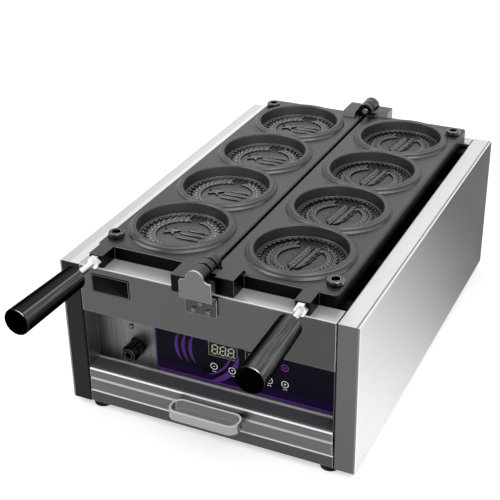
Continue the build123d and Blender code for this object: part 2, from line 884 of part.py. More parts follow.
def bracket_screws():
    front = []
    for x, level in bracket_screw_places():
        screw = pan_screw(bracket_screw_radius, bracket_screw_length, bracket_screw_head_radius,
                          bracket_screw_head_height)
        front.append(Pos(x, -seam - bracket_thickness, level) * Rot(90, 0, 0) * screw)
    return front + [rear_copy(screw) for screw in front]


def hinge_pin(start, end):
    pin = rod_along("Y", 0, start, hinge_level, hinge_pin_radius, end - start)
    return chamfer(pin.edges(), 0.5)


# Moulds
def knuckle_spans():
    """Where each knuckle starts and ends along Y: front left, right, left, rear left, right."""
    spans = []
    y = front_bracket_face + seam
    for length in front_knuckle_lengths:
        spans.append((y, y + length))
        y += length + knuckle_gap
    y = rear_bracket_face - seam
    for length in rear_knuckle_lengths:
        spans.append((y - length, y))
        y -= length + knuckle_gap
    return spans


def knuckle(span):
    start, end = span
    barrel = rod_along("Y", 0, start, hinge_level, knuckle_radius, end - start)
    return chamfer(barrel.edges(), 0.6)


def cup_places(side):
    return [(side * cup_offset_x, first_cup_y + index * cup_pitch) for index in range(cup_count)]


def levelling_places(side):
    x = side * (mould_outer - levelling_inset_x)
    return [(x, mould_front + levelling_inset_front), (x, mould_rear - levelling_inset_rear)]


def ring():
    """Raised ring round one cup, with a rounded foot, about Z at zero."""
    lift = ring_level - plate_level
    outer = cup_radius + ring_width
    foot = cup_radius + ring_foot
    sweep_in = foot - outer - 0.6
    outline = Polyline((0, -1), (foot, -1), (foot, 0))
    curve = RadiusArc((foot, 0), (outer + 0.6, lift * 0.62), -sweep_in * 1.25)
    top = Polyline((outer + 0.6, lift * 0.62), (outer, lift - 0.8), (outer - 0.8, lift), (0, lift),
                   (0, -1))
    return revolve(Plane.XZ * make_face(outline + curve + top), axis=Axis.Z)


def cup_cutter():
    """The space inside one cup, about Z at zero level with the ring's top."""
    floor = cup_radius - cup_draft
    outline = Polyline((0, 1), (cup_radius + cup_edge + 1, 1), (cup_radius, -cup_edge),
                       (floor + 0.3, -cup_depth + 1.5), (floor - 1.5, -cup_depth), (0, -cup_depth),
                       (0, 1))
    return revolve(Plane.XZ * make_face(outline), axis=Axis.Z)


def mould_plate(side):
    """Flat casting with a hollow underside, ribs and a boss under each levelling screw."""
    inner = mould_half_gap
    width = mould_outer - inner
    centre_x = side * (inner + width / 2)
    centre_y = (mould_front + mould_rear) / 2
    plate = block(centre_x - width / 2, centre_x + width / 2, mould_front, mould_rear, mould_bottom,
                  plate_level)
    corners = plate.edges().filter_by(Axis.Z).group_by(Axis.X)[0 if side < 0 else -1]
    plate = fillet(corners, plate_corner)
    plate = fillet(plate.edges().group_by(Axis.Z)[-1], plate_edge)
    pocket = Pos(centre_x, centre_y) * RectangleRounded(width - 2 * skirt_wall,
                                                        mould_length - 2 * skirt_wall,
                                                        pocket_corner)
    for x, y in cup_places(side):
        pocket -= Pos(x, y) * Circle(cup_radius + cup_wall)
        pocket -= Pos(centre_x, y) * Rectangle(width, rib_thickness)
    for x, y in levelling_places(side):
        pocket -= Pos(x, y) * Circle(levelling_boss_radius)
    depth = plate_level - plate_thickness - mould_bottom
    return plate - extrude(Pos(0, 0, mould_bottom) * pocket, amount=depth)


def lug_profile(front, back, low, high, slope_front, slope_back):
    """Side view of a hinge lug, its top sloping down to the plate where it meets it."""
    points = [(front, low), (back, low)]
    if slope_back:
        points += [(back, plate_level - 1), (back - lug_slope, high)]
    else:
        points += [(back, high)]
    if slope_front:
        points += [(front + lug_slope, high), (front, plate_level - 1)]
    else:
        points += [(front, high)]
    return make_face(Polyline(*points, points[0]))


def hinge_lug(x0, x1, front, back, slope_front=False, slope_back=False):
    profile = lug_profile(front, back, lug_bottom, ring_level, slope_front, slope_back)
    lug = extrude(Plane(origin=(x0, 0, 0), x_dir=(0, 1, 0), z_dir=(1, 0, 0)) * profile,
                  amount=x1 - x0)
    return lug


def handle_lug(x):
    half = handle_lug_width / 2
    lug = block(x - half, x + half, handle_lug_front, mould_front + skirt_wall * 3, mould_bottom,
                plate_level)
    lug = fillet(lug.edges().filter_by(Axis.Z).group_by(Axis.Y)[0], 1.5)
    return fillet(lug.edges().group_by(Axis.Z)[-1].group_by(Axis.Y)[0], 1.0)


def web(side, span, reach):
    """Short arm that joins a knuckle to its lug or plate."""
    start, end = span
    x0, x1 = sorted((0.0, side * reach))
    return block(x0, x1, start, end, hinge_level - knuckle_radius * 0.95, ring_level)


def clear_ring(span):
    """Space that the other mould's knuckle turns in."""
    start, end = span
    return rod_along("Y", 0, start - knuckle_gap, hinge_level, knuckle_radius + notch_clearance,
                     end - start + 2 * knuckle_gap)


def handle_place(side):
    """Where a handle leaves its lug, with Z along the rod."""
    x = -left_handle_x if side < 0 else right_handle_x
    angle = math.radians(handle_splay)
    direction = (side * math.sin(angle), -math.cos(angle), 0)
    return Plane(origin=(x, handle_lug_front, handle_level), x_dir=(0, 0, 1), z_dir=direction)


def mould(side):
    """One mould: plate, rings, cups, hinge lugs with their knuckles and the handle lug."""
    front_left, front_right, front_inner, rear_left, rear_right = knuckle_spans()
    shape = mould_plate(side)
    for x, y in cup_places(side):
        shape += Pos(x, y, plate_level) * ring()
    if side < 0:
        own = [front_left, front_inner, rear_left]
        other = [front_right, rear_right]
        handle_x = -left_handle_x
        shape += hinge_lug(-left_lug_outer, -lug_inner, front_left[0], mould_front + lug_slope,
                           slope_back=True)
        shape += hinge_lug(-left_lug_outer, -lug_inner, mould_rear - rear_lug_inside, rear_left[1],
                           slope_front=True)
    else:
        own = [front_right, rear_right]
        other = [front_left, front_inner, rear_left]
        handle_x = right_handle_x
        shape += hinge_lug(right_lug_inner, right_lug_outer, right_lug_front,
                           mould_front + lug_slope, slope_back=True)
        shape += hinge_lug(lug_inner, rear_right_lug_outer, mould_rear - skirt_wall, rear_left[1],
                           slope_front=True)
    shape += handle_lug(handle_x)
    for x, y in cup_places(side):
        shape -= Pos(x, y, ring_level) * cup_cutter()
    for span in other:
        shape -= clear_ring(span)
    for span in own:
        reach = right_lug_inner + 1 if side > 0 else lug_inner + 1
        shape += web(side, span, reach)
        shape += knuckle(span)
    first = front_bracket_face
    last = rear_bracket_face
    shape -= rod_along("Y", 0, first, hinge_level, hinge_pin_radius + hinge_running_clearance,
                       last - first)
    for x, y in levelling_places(side):
        shape -= rod_along("Z", x, y, plate_level - levelling_sink,
                           levelling_head_radius + levelling_recess_clearance,
                           2 * levelling_head_height)
        shape -= rod_along("Z", x, y, mould_bottom - 1,
                           levelling_radius + hinge_running_clearance, plate_height + ring_height)
    hole = Cylinder(rod_radius + hinge_running_clearance, 2 * rod_thread_depth + 1.0)
    return shape - handle_place(side) * hole


def levelling_screws(side):
    screws = []
    seat = plate_level - levelling_sink
    for x, y in levelling_places(side):
        head = rod_along("Z", x, y, seat, levelling_head_radius, levelling_head_height)
        head = chamfer(head.edges().sort_by(Axis.Z)[-1], 0.6)
        socket = extrude(Pos(x, y, seat + levelling_head_height - levelling_socket_depth)
                         * RegularPolygon(levelling_socket / 2, 6, major_radius=False),
                         amount=2 * levelling_socket_depth)
        shank = rod_along("Z", x, y, rest_rail_level + seam, levelling_radius,
                          seat - rest_rail_level - seam)
        screws.append(head - socket + shank)
    return screws


def rod_bare_length(side):
    """How much rod shows between the lug and the grip."""
    return left_rod_bare_length if side < 0 else right_rod_bare_length


def handle_rod(side):
    length = rod_thread_depth + rod_bare_length(side) + rod_in_grip - handle_lug_front
    rod = Pos(0, 0, -rod_thread_depth) * Cylinder(rod_radius, length,
                                                  align=(Align.CENTER, Align.CENTER, Align.MIN))
    return handle_place(side) * chamfer(rod.edges(), 0.6)


def handle_nut(side):
    nut = hexagon(handle_nut_flats, handle_nut_thickness, rod_radius + hinge_running_clearance)
    return handle_place(side) * (Pos(0, 0, handle_nut_standoff) * Rot(0, 0, 30) * nut)


def grip(side):
    """Turned grip, a little thicker towards its outer end."""
    depth = rod_in_grip + rod_end_gap
    bore = rod_radius + hinge_running_clearance
    back = grip_rear_radius
    front = grip_radius
    outline = Polyline((bore, 0), (back - grip_rear_chamfer, 0), (back, grip_rear_chamfer),
                       (front, grip_length - grip_edge))
    rim = RadiusArc((front, grip_length - grip_edge), (front - grip_edge, grip_length), -grip_edge)
    rest = Polyline((front - grip_edge, grip_length), (0, grip_length), (0, depth), (bore, depth),
                    (bore, 0))
    body = revolve(Plane.XZ * make_face(outline + rim + rest), axis=Axis.Z)
    return handle_place(side) * (Pos(0, 0, rod_bare_length(side)) * body)


def build():
    """All pieces by name, each as a list of separate solids."""
    spans = knuckle_spans()
    rail_front, rail_rear = [y for x, y in levelling_places(1)]
    right_frame = side_frame()
    right_cover = side_cover()
    right_runner = drawer_runner()
    front_bracket = hinge_bracket()
    pieces = {
        "base_pan": [base_pan()],
        "side_frame_left": [left_copy(right_frame)],
        "side_frame_right": [right_frame],
        "side_cover_left": [left_copy(right_cover)],
        "side_cover_right": [right_cover],
        "front_fascia": [front_fascia()],
        "rear_ledge": [rear_ledge()],
        "back_panel": [back_panel()],
        "back_panel_screws": back_panel_screws(),
        "rubber_feet": rubber_feet(),
        "foot_screws": foot_screws(),
        "recess_panel": [recess_panel()],
        "overlay_panel": [overlay_panel()],
        "control_board": [control_board()],
        "board_standoffs": board_standoffs(),
        "cable_gland": [cable_gland()],
        "gland_dome_nut": [gland_dome_nut()],
        "gland_locknut": [gland_locknut()],
        "recess_screw": [recess_screw()],
        "heat_shield": [heat_shield()],
        "bulkhead": [bulkhead()],
        "heating_element_left": [heating_element(-1)],
        "heating_element_right": [heating_element(1)],
        "element_bars": element_bars(),
        "element_straps": element_straps(),
        "rest_rails": [rest_rail(rail_front), rest_rail(rail_rear)],
        "temperature_probes": temperature_probes(),
        "thermal_cutout": [thermal_cutout()],
        "power_relays": power_relays(),
        "terminal_block": [terminal_block()],
        "drawer_runners": [left_copy(right_runner), right_runner],
        "drawer_tray": [drawer_tray()],
        "drawer_front": [drawer_front()],
        "drawer_handle": [drawer_handle()],
        "drawer_handle_screws": drawer_handle_screws(),
        "hinge_bracket_front": [front_bracket],
        "hinge_bracket_rear": [rear_copy(front_bracket)],
        "bracket_screws": bracket_screws(),
        "hinge_pin_front": [hinge_pin(front_bracket_face, spans[2][1])],
        "hinge_pin_rear": [hinge_pin(spans[4][0], rear_bracket_face)],
    }
    for name, x in zip(("display_left", "display_right"), display_places()):
        pieces[name] = [display(x)]
    for index, (x, level) in enumerate(key_places()):
        pieces[f"key_{index + 1}"] = [key(x, level)]
    for name, side in (("left", -1), ("right", 1)):
        pieces[f"mould_{name}"] = [mould(side)]
        pieces[f"levelling_screws_{name}"] = levelling_screws(side)
        pieces[f"handle_rod_{name}"] = [handle_rod(side)]
        pieces[f"handle_nut_{name}"] = [handle_nut(side)]
        pieces[f"grip_{name}"] = [grip(side)]
    return pieces


def main():
    os.makedirs("parts", exist_ok=True)
    pieces = build()
    everything = Compound([solid for solids in pieces.values() for solid in solids])
    box = everything.bounding_box()
    shift = Pos(0, -(box.min.Y + box.max.Y) / 2, -box.min.Z)
    for name, solids in pieces.items():
        placed = [shift * solid for solid in solids]
        export_step(placed[0] if len(placed) == 1 else Compound(placed), f"parts/{name}.step")
    print("moved by", shift.position, "size", box.size)


main()
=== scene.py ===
import math

import bmesh
import bpy
from mathutils import Matrix, Vector


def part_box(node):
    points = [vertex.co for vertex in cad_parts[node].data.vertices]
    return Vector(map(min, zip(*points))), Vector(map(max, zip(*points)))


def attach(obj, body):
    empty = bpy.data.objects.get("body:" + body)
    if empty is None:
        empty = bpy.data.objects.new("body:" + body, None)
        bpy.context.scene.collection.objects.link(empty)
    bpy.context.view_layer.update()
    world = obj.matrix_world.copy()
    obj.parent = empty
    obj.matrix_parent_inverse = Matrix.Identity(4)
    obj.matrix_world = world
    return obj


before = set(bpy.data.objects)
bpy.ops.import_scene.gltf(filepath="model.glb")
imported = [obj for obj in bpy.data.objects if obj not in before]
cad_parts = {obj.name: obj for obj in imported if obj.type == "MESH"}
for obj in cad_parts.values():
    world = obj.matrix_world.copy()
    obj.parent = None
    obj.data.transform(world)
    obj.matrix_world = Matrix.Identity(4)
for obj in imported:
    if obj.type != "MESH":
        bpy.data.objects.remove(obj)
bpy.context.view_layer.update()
mm = 0.001
cabinetShift = Vector((0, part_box("front_fascia")[0].y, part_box("base_pan")[0].z)) / mm
print("frame loaded")


def inCabinet(x, y, z):   # millimetres from the cabinet's front face and floor to metres in the frame
    return tuple((Vector((x, y, z)) + cabinetShift) * mm)


# Camera

cameraSet = {
    "position": (493.1, -906.9, 801.4),     # millimetres in the cabinet
    "target": (-57.29, 242.76, 106.89),
    "roll": -0.94,                          # degrees
    "focalPixels": 1115.9,
    "framePixels": 500,
    "sensor": 36,
    "clipEnd": 50,
}


def placeCamera(s):
    data = bpy.data.cameras.new("photoCamera")
    camera = bpy.data.objects.new("photoCamera", data)
    bpy.context.scene.collection.objects.link(camera)
    position = Vector(inCabinet(*s["position"]))
    forward = (Vector(inCabinet(*s["target"])) - position).normalized()
    right = forward.cross(Vector((0, 0, 1))).normalized()
    up = right.cross(forward)
    roll = math.radians(s["roll"])
    tiltedRight = right * math.cos(roll) + up * math.sin(roll)
    tiltedUp = up * math.cos(roll) - right * math.sin(roll)
    turn = Matrix((tiltedRight, tiltedUp, -forward)).transposed()
    camera.matrix_world = Matrix.Translation(position) @ turn.to_4x4()
    data.sensor_width = s["sensor"]
    data.lens = s["focalPixels"] / s["framePixels"] * s["sensor"]
    data.clip_end = s["clipEnd"]
    bpy.context.scene.camera = camera


placeCamera(cameraSet)
print("camera placed")


# Shader node groups that several finishes share

noiseSet = {"lineScale": 1, "lineDetail": 4, "cloudScale": 9, "cloudDetail": 3, "poreDetail": 5,
            "blotchDetail": 4}
grainMiddle = 0.5
bevelSamples = 4
groups = {}


def newGroup(key, inputs, outputs):   # labels and kinds of sockets
    group = bpy.data.node_groups.new(key, "ShaderNodeTree")
    for inOut, sockets in (("INPUT", inputs), ("OUTPUT", outputs)):
        for label, kind in sockets.items():
            group.interface.new_socket(name=label, in_out=inOut, socket_type="NodeSocket" + kind)
    groups[key] = group
    start = group.nodes.new("NodeGroupInput").outputs
    end = group.nodes.new("NodeGroupOutput").inputs
    return group.nodes, group.links, start, end


def connect(links, value, socket):
    if isinstance(value, (int, float)):
        socket.default_value = value
    else:
        links.new(value, socket)


def mathNode(nodes, links, operation, first, second=None, clamp=False):
    node = nodes.new("ShaderNodeMath")
    node.operation = operation
    node.use_clamp = clamp
    connect(links, first, node.inputs[0])
    if second is not None:
        connect(links, second, node.inputs[1])
    return node.outputs[0]


def vectorNode(nodes, links, operation, first, second):
    node = nodes.new("ShaderNodeVectorMath")
    node.operation = operation
    links.new(first, node.inputs[0])
    links.new(second, node.inputs[1])
    return node.outputs["Value" if operation == "DOT_PRODUCT" else "Vector"]


def noiseNode(nodes, links, place, scale, detail):
    node = nodes.new("ShaderNodeTexNoise")
    links.new(place, node.inputs["Vector"])
    connect(links, scale, node.inputs["Scale"])
    node.inputs["Detail"].default_value = detail
    return node.outputs["Fac"]


def smoothNode(nodes, links, value, low=0, high=1):
    node = nodes.new("ShaderNodeMapRange")
    node.interpolation_type = "SMOOTHSTEP"
    for label, source in (("Value", value), ("From Min", low), ("From Max", high)):
        connect(links, source, node.inputs[label])
    return node.outputs["Result"]


def makeGrainGroup():
    nodes, links, start, end = newGroup(
        "grain", {"Stretch": "Vector", "Contrast": "Float"}, {"Lines": "Float", "Clouds": "Float"})
    place = nodes.new("ShaderNodeTexCoord").outputs["Object"]
    scaled = vectorNode(nodes, links, "MULTIPLY", place, start["Stretch"])
    fine = noiseNode(nodes, links, scaled, noiseSet["lineScale"], noiseSet["lineDetail"])
    centred = mathNode(nodes, links, "SUBTRACT", fine, grainMiddle)
    spread = mathNode(nodes, links, "MULTIPLY", centred, start["Contrast"])
    links.new(mathNode(nodes, links, "ADD", spread, grainMiddle, clamp=True), end["Lines"])
    links.new(noiseNode(nodes, links, place, noiseSet["cloudScale"], noiseSet["cloudDetail"]), end["Clouds"])


def makeFadeGroup():
    nodes, links, start, end = newGroup(
        "fade", {"From": "Vector", "Direction": "Vector"}, {"Mask": "Float"})
    place = nodes.new("ShaderNodeTexCoord").outputs["Object"]
    away = vectorNode(nodes, links, "SUBTRACT", place, start["From"])
    along = vectorNode(nodes, links, "DOT_PRODUCT", away, start["Direction"])
    links.new(smoothNode(nodes, links, along), end["Mask"])


def makeFacingGroup():
    nodes, links, start, end = newGroup(
        "facing", {"Direction": "Vector", "Low": "Float", "High": "Float"}, {"Mask": "Float"})
    normal = nodes.new("ShaderNodeTexCoord").outputs["Normal"]
    along = vectorNode(nodes, links, "DOT_PRODUCT", normal, start["Direction"])
    links.new(smoothNode(nodes, links, along, start["Low"], start["High"]), end["Mask"])


def makeEdgeGroup():
    nodes, links, start, end = newGroup(
        "edge", {"Radius": "Float", "Sharpness": "Float"}, {"Mask": "Float", "Normal": "Vector"})
    bevel = nodes.new("ShaderNodeBevel")
    bevel.samples = bevelSamples
    links.new(start["Radius"], bevel.inputs["Radius"])
    normal = nodes.new("ShaderNodeNewGeometry").outputs["Normal"]
    along = vectorNode(nodes, links, "DOT_PRODUCT", bevel.outputs["Normal"], normal)
    bent = mathNode(nodes, links, "SUBTRACT", 1, along)
    links.new(mathNode(nodes, links, "MULTIPLY", bent, start["Sharpness"], clamp=True), end["Mask"])
    links.new(bevel.outputs["Normal"], end["Normal"])


def makeCastGroup():
    nodes, links, start, end = newGroup(
        "cast", {"Pore Scale": "Float", "Blotch Scale": "Float"}, {"Pores": "Float", "Blotches": "Float"})
    place = nodes.new("ShaderNodeTexCoord").outputs["Object"]
    links.new(noiseNode(nodes, links, place, start["Pore Scale"], noiseSet["poreDetail"]), end["Pores"])
    blotches = noiseNode(nodes, links, place, start["Blotch Scale"], noiseSet["blotchDetail"])
    links.new(blotches, end["Blotches"])


def makeSideGroup():
    nodes, links, start, end = newGroup(
        "side", {"Reach": "Float", "Blur": "Float"}, {"Mask": "Float"})
    split = nodes.new("ShaderNodeSeparateXYZ")
    links.new(nodes.new("ShaderNodeTexCoord").outputs["Object"], split.inputs[0])
    fromMiddle = mathNode(nodes, links, "ABSOLUTE", split.outputs["X"])
    beyond = mathNode(nodes, links, "SUBTRACT", fromMiddle, start["Reach"])
    links.new(mathNode(nodes, links, "DIVIDE", beyond, start["Blur"], clamp=True), end["Mask"])


for makeGroup in (makeGrainGroup, makeFadeGroup, makeFacingGroup, makeEdgeGroup, makeCastGroup,
                  makeSideGroup):
    makeGroup()

finishes = {}


class Finish:
    def __init__(self, name, metallic, specular=0.5):
        material = bpy.data.materials.new(name)
        finishes[name] = material
        material.use_nodes = True
        self.nodes = material.node_tree.nodes
        self.links = material.node_tree.links
        self.nodes.clear()
        output = self.nodes.new("ShaderNodeOutputMaterial")
        self.shader = self.nodes.new("ShaderNodeBsdfPrincipled")
        self.links.new(self.shader.outputs[0], output.inputs["Surface"])
        self.shader.inputs["Metallic"].default_value = metallic
        self.shader.inputs["Specular IOR Level"].default_value = specular

    def group(self, key, **values):
        node = self.nodes.new("ShaderNodeGroup")
        node.node_tree = groups[key]
        for label, value in values.items():
            node.inputs[label.replace("_", " ")].default_value = value
        return node.outputs

    def mask(self, key, **values):
        return self.group(key, **values)["Mask"]

    def fade(self, start, direction):   # from a place in the cabinet, in millimetres
        return self.mask("fade", From=inCabinet(*start), Direction=direction)

    def beyond(self, reach, blur):   # further from the middle than this, in millimetres
        return self.mask("side", Reach=reach * mm, Blur=blur * mm)

    def blend(self, mask, low, high):
        node = self.nodes.new("ShaderNodeMix")
        node.data_type = "RGBA"
        self.links.new(mask, node.inputs["Factor"])
        for socket, value in ((node.inputs["A"], low), (node.inputs["B"], high)):
            if isinstance(value, tuple):
                socket.default_value = (*value, 1)
            else:
                self.links.new(value, socket)
        return node.outputs["Result"]

    def spread(self, value, low, high):
        node = self.nodes.new("ShaderNodeMapRange")
        self.links.new(value, node.inputs["Value"])
        node.inputs["To Min"].default_value = low
        node.inputs["To Max"].default_value = high
        return node.outputs["Result"]

    def bump(self, height, strength, distance, normal=None):
        node = self.nodes.new("ShaderNodeBump")
        node.inputs["Strength"].default_value = strength
        node.inputs["Distance"].default_value = distance
        self.links.new(height, node.inputs["Height"])
        if normal is not None:
            self.links.new(normal, node.inputs["Normal"])
        self.links.new(node.outputs["Normal"], self.shader.inputs["Normal"])

    def feed(self, label, value):
        self.links.new(value, self.shader.inputs[label])

    def roughen(self, value, roughness, swing):
        self.feed("Roughness", self.spread(value, roughness - swing, roughness + swing))

    def dim(self, glancing):   # reflects less at a glancing angle
        self.shader.inputs["Specular Tint"].default_value = (glancing, glancing, glancing, 1)


def tint(colour, factor):
    return tuple(min(1, channel * factor) for channel in colour)


blueLean = 1.01   # the greys of steel, coating and paint lean a little to blue


def grey(level):
    return level, level, level * blueLean


# Which way a face looks, how fine a painted edge highlight is and how steep a fade

upward = {"Direction": (0, 0, 1), "Low": 0.35, "High": 0.95}
squarelyUp = {"Direction": (0, 0, 1), "Low": 0.55, "High": 0.9}
castUpward = {"Direction": (0, 0, 1), "Low": 0.1, "High": 0.85}
squarelyFront = {"Direction": (0, -1, 0), "Low": 0.55, "High": 0.9}
backward = {"Direction": (0, 1, 0), "Low": 0.5, "High": 0.9}
rightward = {"Direction": (1, 0, 0), "Low": 0.5, "High": 0.9}
fineEdge = {"Radius": 0.0008, "Sharpness": 4}
hardLine = 1500   # a fade's steepness is per metre, and this one reads as a line


# Stainless steel

acrossFront = (14, 900, 900)   # brushed from side to side
steelSet = {"roughnessSpread": 0.06, "bump": 0.08, "bumpDepth": 0.0001}
sheetSet = {"contrast": 1.5, "sharpness": 9, "edgeHighlightAmount": 0.75, "footFrom": -9, "footFade": 400,
            "shadeFade": 30}
# painted reflection on the side covers: light near the front and bottom, dark towards the back and top;
# upward faces get a painted light grey, front faces a painted shade grey
coverSteel = {"near": grey(0.94), "far": grey(0.06), "hemShade": grey(0.21), "top": grey(0.86), "glancing": 0.65,
              "fadeFrom": (0, 15, 45), "fadeDirection": (0, 1.9, 2.2), "roughness": 0.34,
              "stretch": (60, 14, 900), "contrast": 1.4, "tone": 0.05, "edgeHighlightAmount": 0.35}
# painted light and shade on the posts: the left front is painted far darker than the right and the tops
# lighter; the left top has a painted highlight band within 166.5 mm of the middle; the right top has a
# painted shade line in its groove near the outer edge; each front has a dark joint line with painted shadow
# along its inner edge
postSteel = {"left": grey(0.021), "right": grey(0.125), "top": grey(0.6), "rim": grey(0.74),
             "grooveShade": grey(0.25), "jointShadow": grey(0.008), "rimFrom": (166.5, 2), "grooveFrom": (176.7, 0.4),
             "jointFrom": (157, 0.5), "roughness": 0.34, "stretch": (900, 20, 40), "contrast": 1.4,
             "tone": 0.06, "edgeHighlightAmount": 0.5, "edgeHighlightTone": 0.8}
# in the sheets below, the top grey is painted light on upward faces, the face grey is painted shade on the
# rest, and the edge grey is a painted highlight on edges, crests and lips
fasciaSteel = {"face": grey(0.098), "top": grey(0.6), "edge": grey(0.95), "edgeReach": 0.0012, "lip": 1.8,
               "shade": (74, 0.73), "topMetal": 0.35, "roughness": 0.3, "stretch": acrossFront, "tone": 0.07}
drawerSteel = {"face": grey(0.14), "top": grey(0.9), "edge": grey(0.9), "edgeReach": 0.0013,
               "topMetal": 0.2, "crest": ("drawer_front", 2.4), "roughness": 0.32,
               "stretch": (10, 900, 900), "tone": 0.12}
railSteel = {"face": grey(0.078), "top": grey(0.86), "edge": grey(0.84), "edgeReach": 0.0009, "topMetal": 0.5,
             "crest": ("base_pan", 1.6), "roughness": 0.32, "stretch": acrossFront, "tone": 0.08}
backSteel = {"face": grey(0.3), "top": grey(0.52), "edge": grey(0.7), "edgeReach": 0.0009, "topMetal": 1,
             "roughness": 0.34, "stretch": acrossFront, "tone": 0.1}
bracketSteel = {"face": grey(0.155), "foot": grey(0.064), "top": grey(0.62), "edge": grey(0.84),
                "edgeReach": 0.0009, "topMetal": 0.6, "roughness": 0.3, "stretch": (40, 700, 700),
                "tone": 0.06}
handleSteel = {"face": grey(0.36), "foot": grey(0.15), "top": grey(0.96), "edge": grey(0.9),
               "edgeReach": 0.0011, "topMetal": 0.15, "roughness": 0.26, "stretch": (60, 900, 900),
               "tone": 0.08}
# painted light and shade in the recess: the wall is painted darker to the left as painted reflection; faces
# turned right get a painted reflection grey; the front rim and the shelf behind the rear line are painted
# highlights; faces at the front rim that don't look up are painted near black as shade
recessSteel = {"dark": grey(0.07), "light": grey(0.17), "darkGrain": (0.6, 1.3), "lightGrain": (0.6, 1.2),
               "shelf": grey(0.105), "rim": grey(0.8), "jambShade": grey(0.01), "side": grey(0.3),
               "lightFrom": (-152, 24, 60), "lightDirection": (18, 0, 6), "rimDepth": 1.6,
               "rimFade": 1000, "rearLine": 20.6, "rearTone": 0.6, "topMetal": 0.25, "roughness": 0.36,
               "stretch": (260, 40, 12), "contrast": 1.8}


def toneSteel(steel, grain, colour, tone):
    return steel.blend(grain["Lines"], tint(colour, 1 - tone), tint(colour, 1 + tone))


def finishSteel(steel, grain, edge, colour, roughness):
    steel.feed("Base Color", colour)
    steel.roughen(grain["Clouds"], roughness, steelSet["roughnessSpread"])
    steel.bump(grain["Lines"], steelSet["bump"], steelSet["bumpDepth"], edge["Normal"])


def cadLevel(node):   # the level of a node's top in the cabinet, in millimetres
    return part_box(node)[1].z / mm - cabinetShift.z


def sheetFinish(name, s):
    steel = Finish(name, 1)
    grain = steel.group("grain", Stretch=s["stretch"], Contrast=sheetSet["contrast"])
    edge = steel.group("edge", Radius=s["edgeReach"], Sharpness=sheetSet["sharpness"])
    facing = steel.mask("facing", **upward)
    face = toneSteel(steel, grain, s["face"], s["tone"])
    top = toneSteel(steel, grain, s["top"], s["tone"] / 2)
    if "shade" in s:   # painted shadow of the right grip: right of it the sheet is a little darker
        start, depth = s["shade"]
        beside = steel.fade((start, 0, 0), (sheetSet["shadeFade"], 0, 0))
        face = steel.blend(beside, face, toneSteel(steel, grain, tint(s["face"], depth), s["tone"]))
    if "foot" in s:    # what is screwed to the front stands in the shade of what reaches out
        foot = steel.fade((0, sheetSet["footFrom"], 0), (0, sheetSet["footFade"], 0))
        face = steel.blend(foot, face, s["foot"])
    if "crest" in s:   # a folded upper edge catches the light
        node, depth = s["crest"]
        crest = steel.fade((0, 0, cadLevel(node) - depth), (0, 0, hardLine))
        face = steel.blend(crest, face, s["edge"])
    if "lip" in s:     # painted highlight along the bend at the front of the ledge
        lip = steel.fade((0, s["lip"], 0), (0, -hardLine, 0))
        top = steel.blend(lip, top, s["edge"])
    steel.feed("Metallic", steel.spread(facing, 1, s["topMetal"]))
    # painted highlight along rounded edges
    edgeHighlight = steel.spread(edge["Mask"], 0, sheetSet["edgeHighlightAmount"])
    # painted light: upward faces take the lighter top grey, the rest take the darker face grey as painted
    # shade
    toned = steel.blend(edgeHighlight, steel.blend(facing, face, top), s["edge"])
    finishSteel(steel, grain, edge, toned, s["roughness"])


def coverFinish(name, s):
    steel = Finish(name, 1)
    steel.dim(s["glancing"])
    grain = steel.group("grain", Stretch=s["stretch"], Contrast=s["contrast"])
    edge = steel.group("edge", **fineEdge)
    # painted reflection: light near the front and bottom, dark towards the back and top
    toned = steel.blend(steel.fade(s["fadeFrom"], s["fadeDirection"]),
                        toneSteel(steel, grain, s["near"], s["tone"]),
                        toneSteel(steel, grain, s["far"], s["tone"]))
    # painted highlight along rounded edges
    edgeHighlight = steel.spread(edge["Mask"], 0, s["edgeHighlightAmount"])
    # painted light on upward faces, painted shade on front faces
    lined = steel.blend(steel.mask("facing", **squarelyUp), steel.blend(edgeHighlight, toned, s["near"]), s["top"])
    hemmed = steel.blend(steel.mask("facing", **squarelyFront), lined, s["hemShade"])
    finishSteel(steel, grain, edge, hemmed, s["roughness"])


def postFinish(name, s, side):
    steel = Finish(name, 1)
    grain = steel.group("grain", Stretch=s["stretch"], Contrast=s["contrast"])
    edge = steel.group("edge", **fineEdge)
    top = toneSteel(steel, grain, s["top"], s["tone"])
    # painted highlight band on the left top, painted shade line in the right top's groove
    if side == "left":
        top = steel.blend(steel.beyond(*s["rimFrom"]), s["rim"], top)
    else:
        top = steel.blend(steel.beyond(*s["grooveFrom"]), top, s["grooveShade"])
    # lit and shaded copies: the left front is painted darker than the right, with a dark joint line and
    # painted shadow along the inner edge
    front = toneSteel(steel, grain, s[side], s["tone"])
    front = steel.blend(steel.beyond(*s["jointFrom"]), s["jointShadow"], front)
    behind = toneSteel(steel, grain, s["right"], s["tone"])   # seen from the back both posts are alike
    front = steel.blend(steel.mask("facing", **backward), front, behind)
    # painted highlight along rounded edges
    edgeHighlight = steel.spread(edge["Mask"], 0, s["edgeHighlightAmount"])
    toned = steel.blend(edgeHighlight, steel.blend(steel.mask("facing", **upward), front, top),
                        tint(s["top"], s["edgeHighlightTone"]))
    finishSteel(steel, grain, edge, toned, s["roughness"])


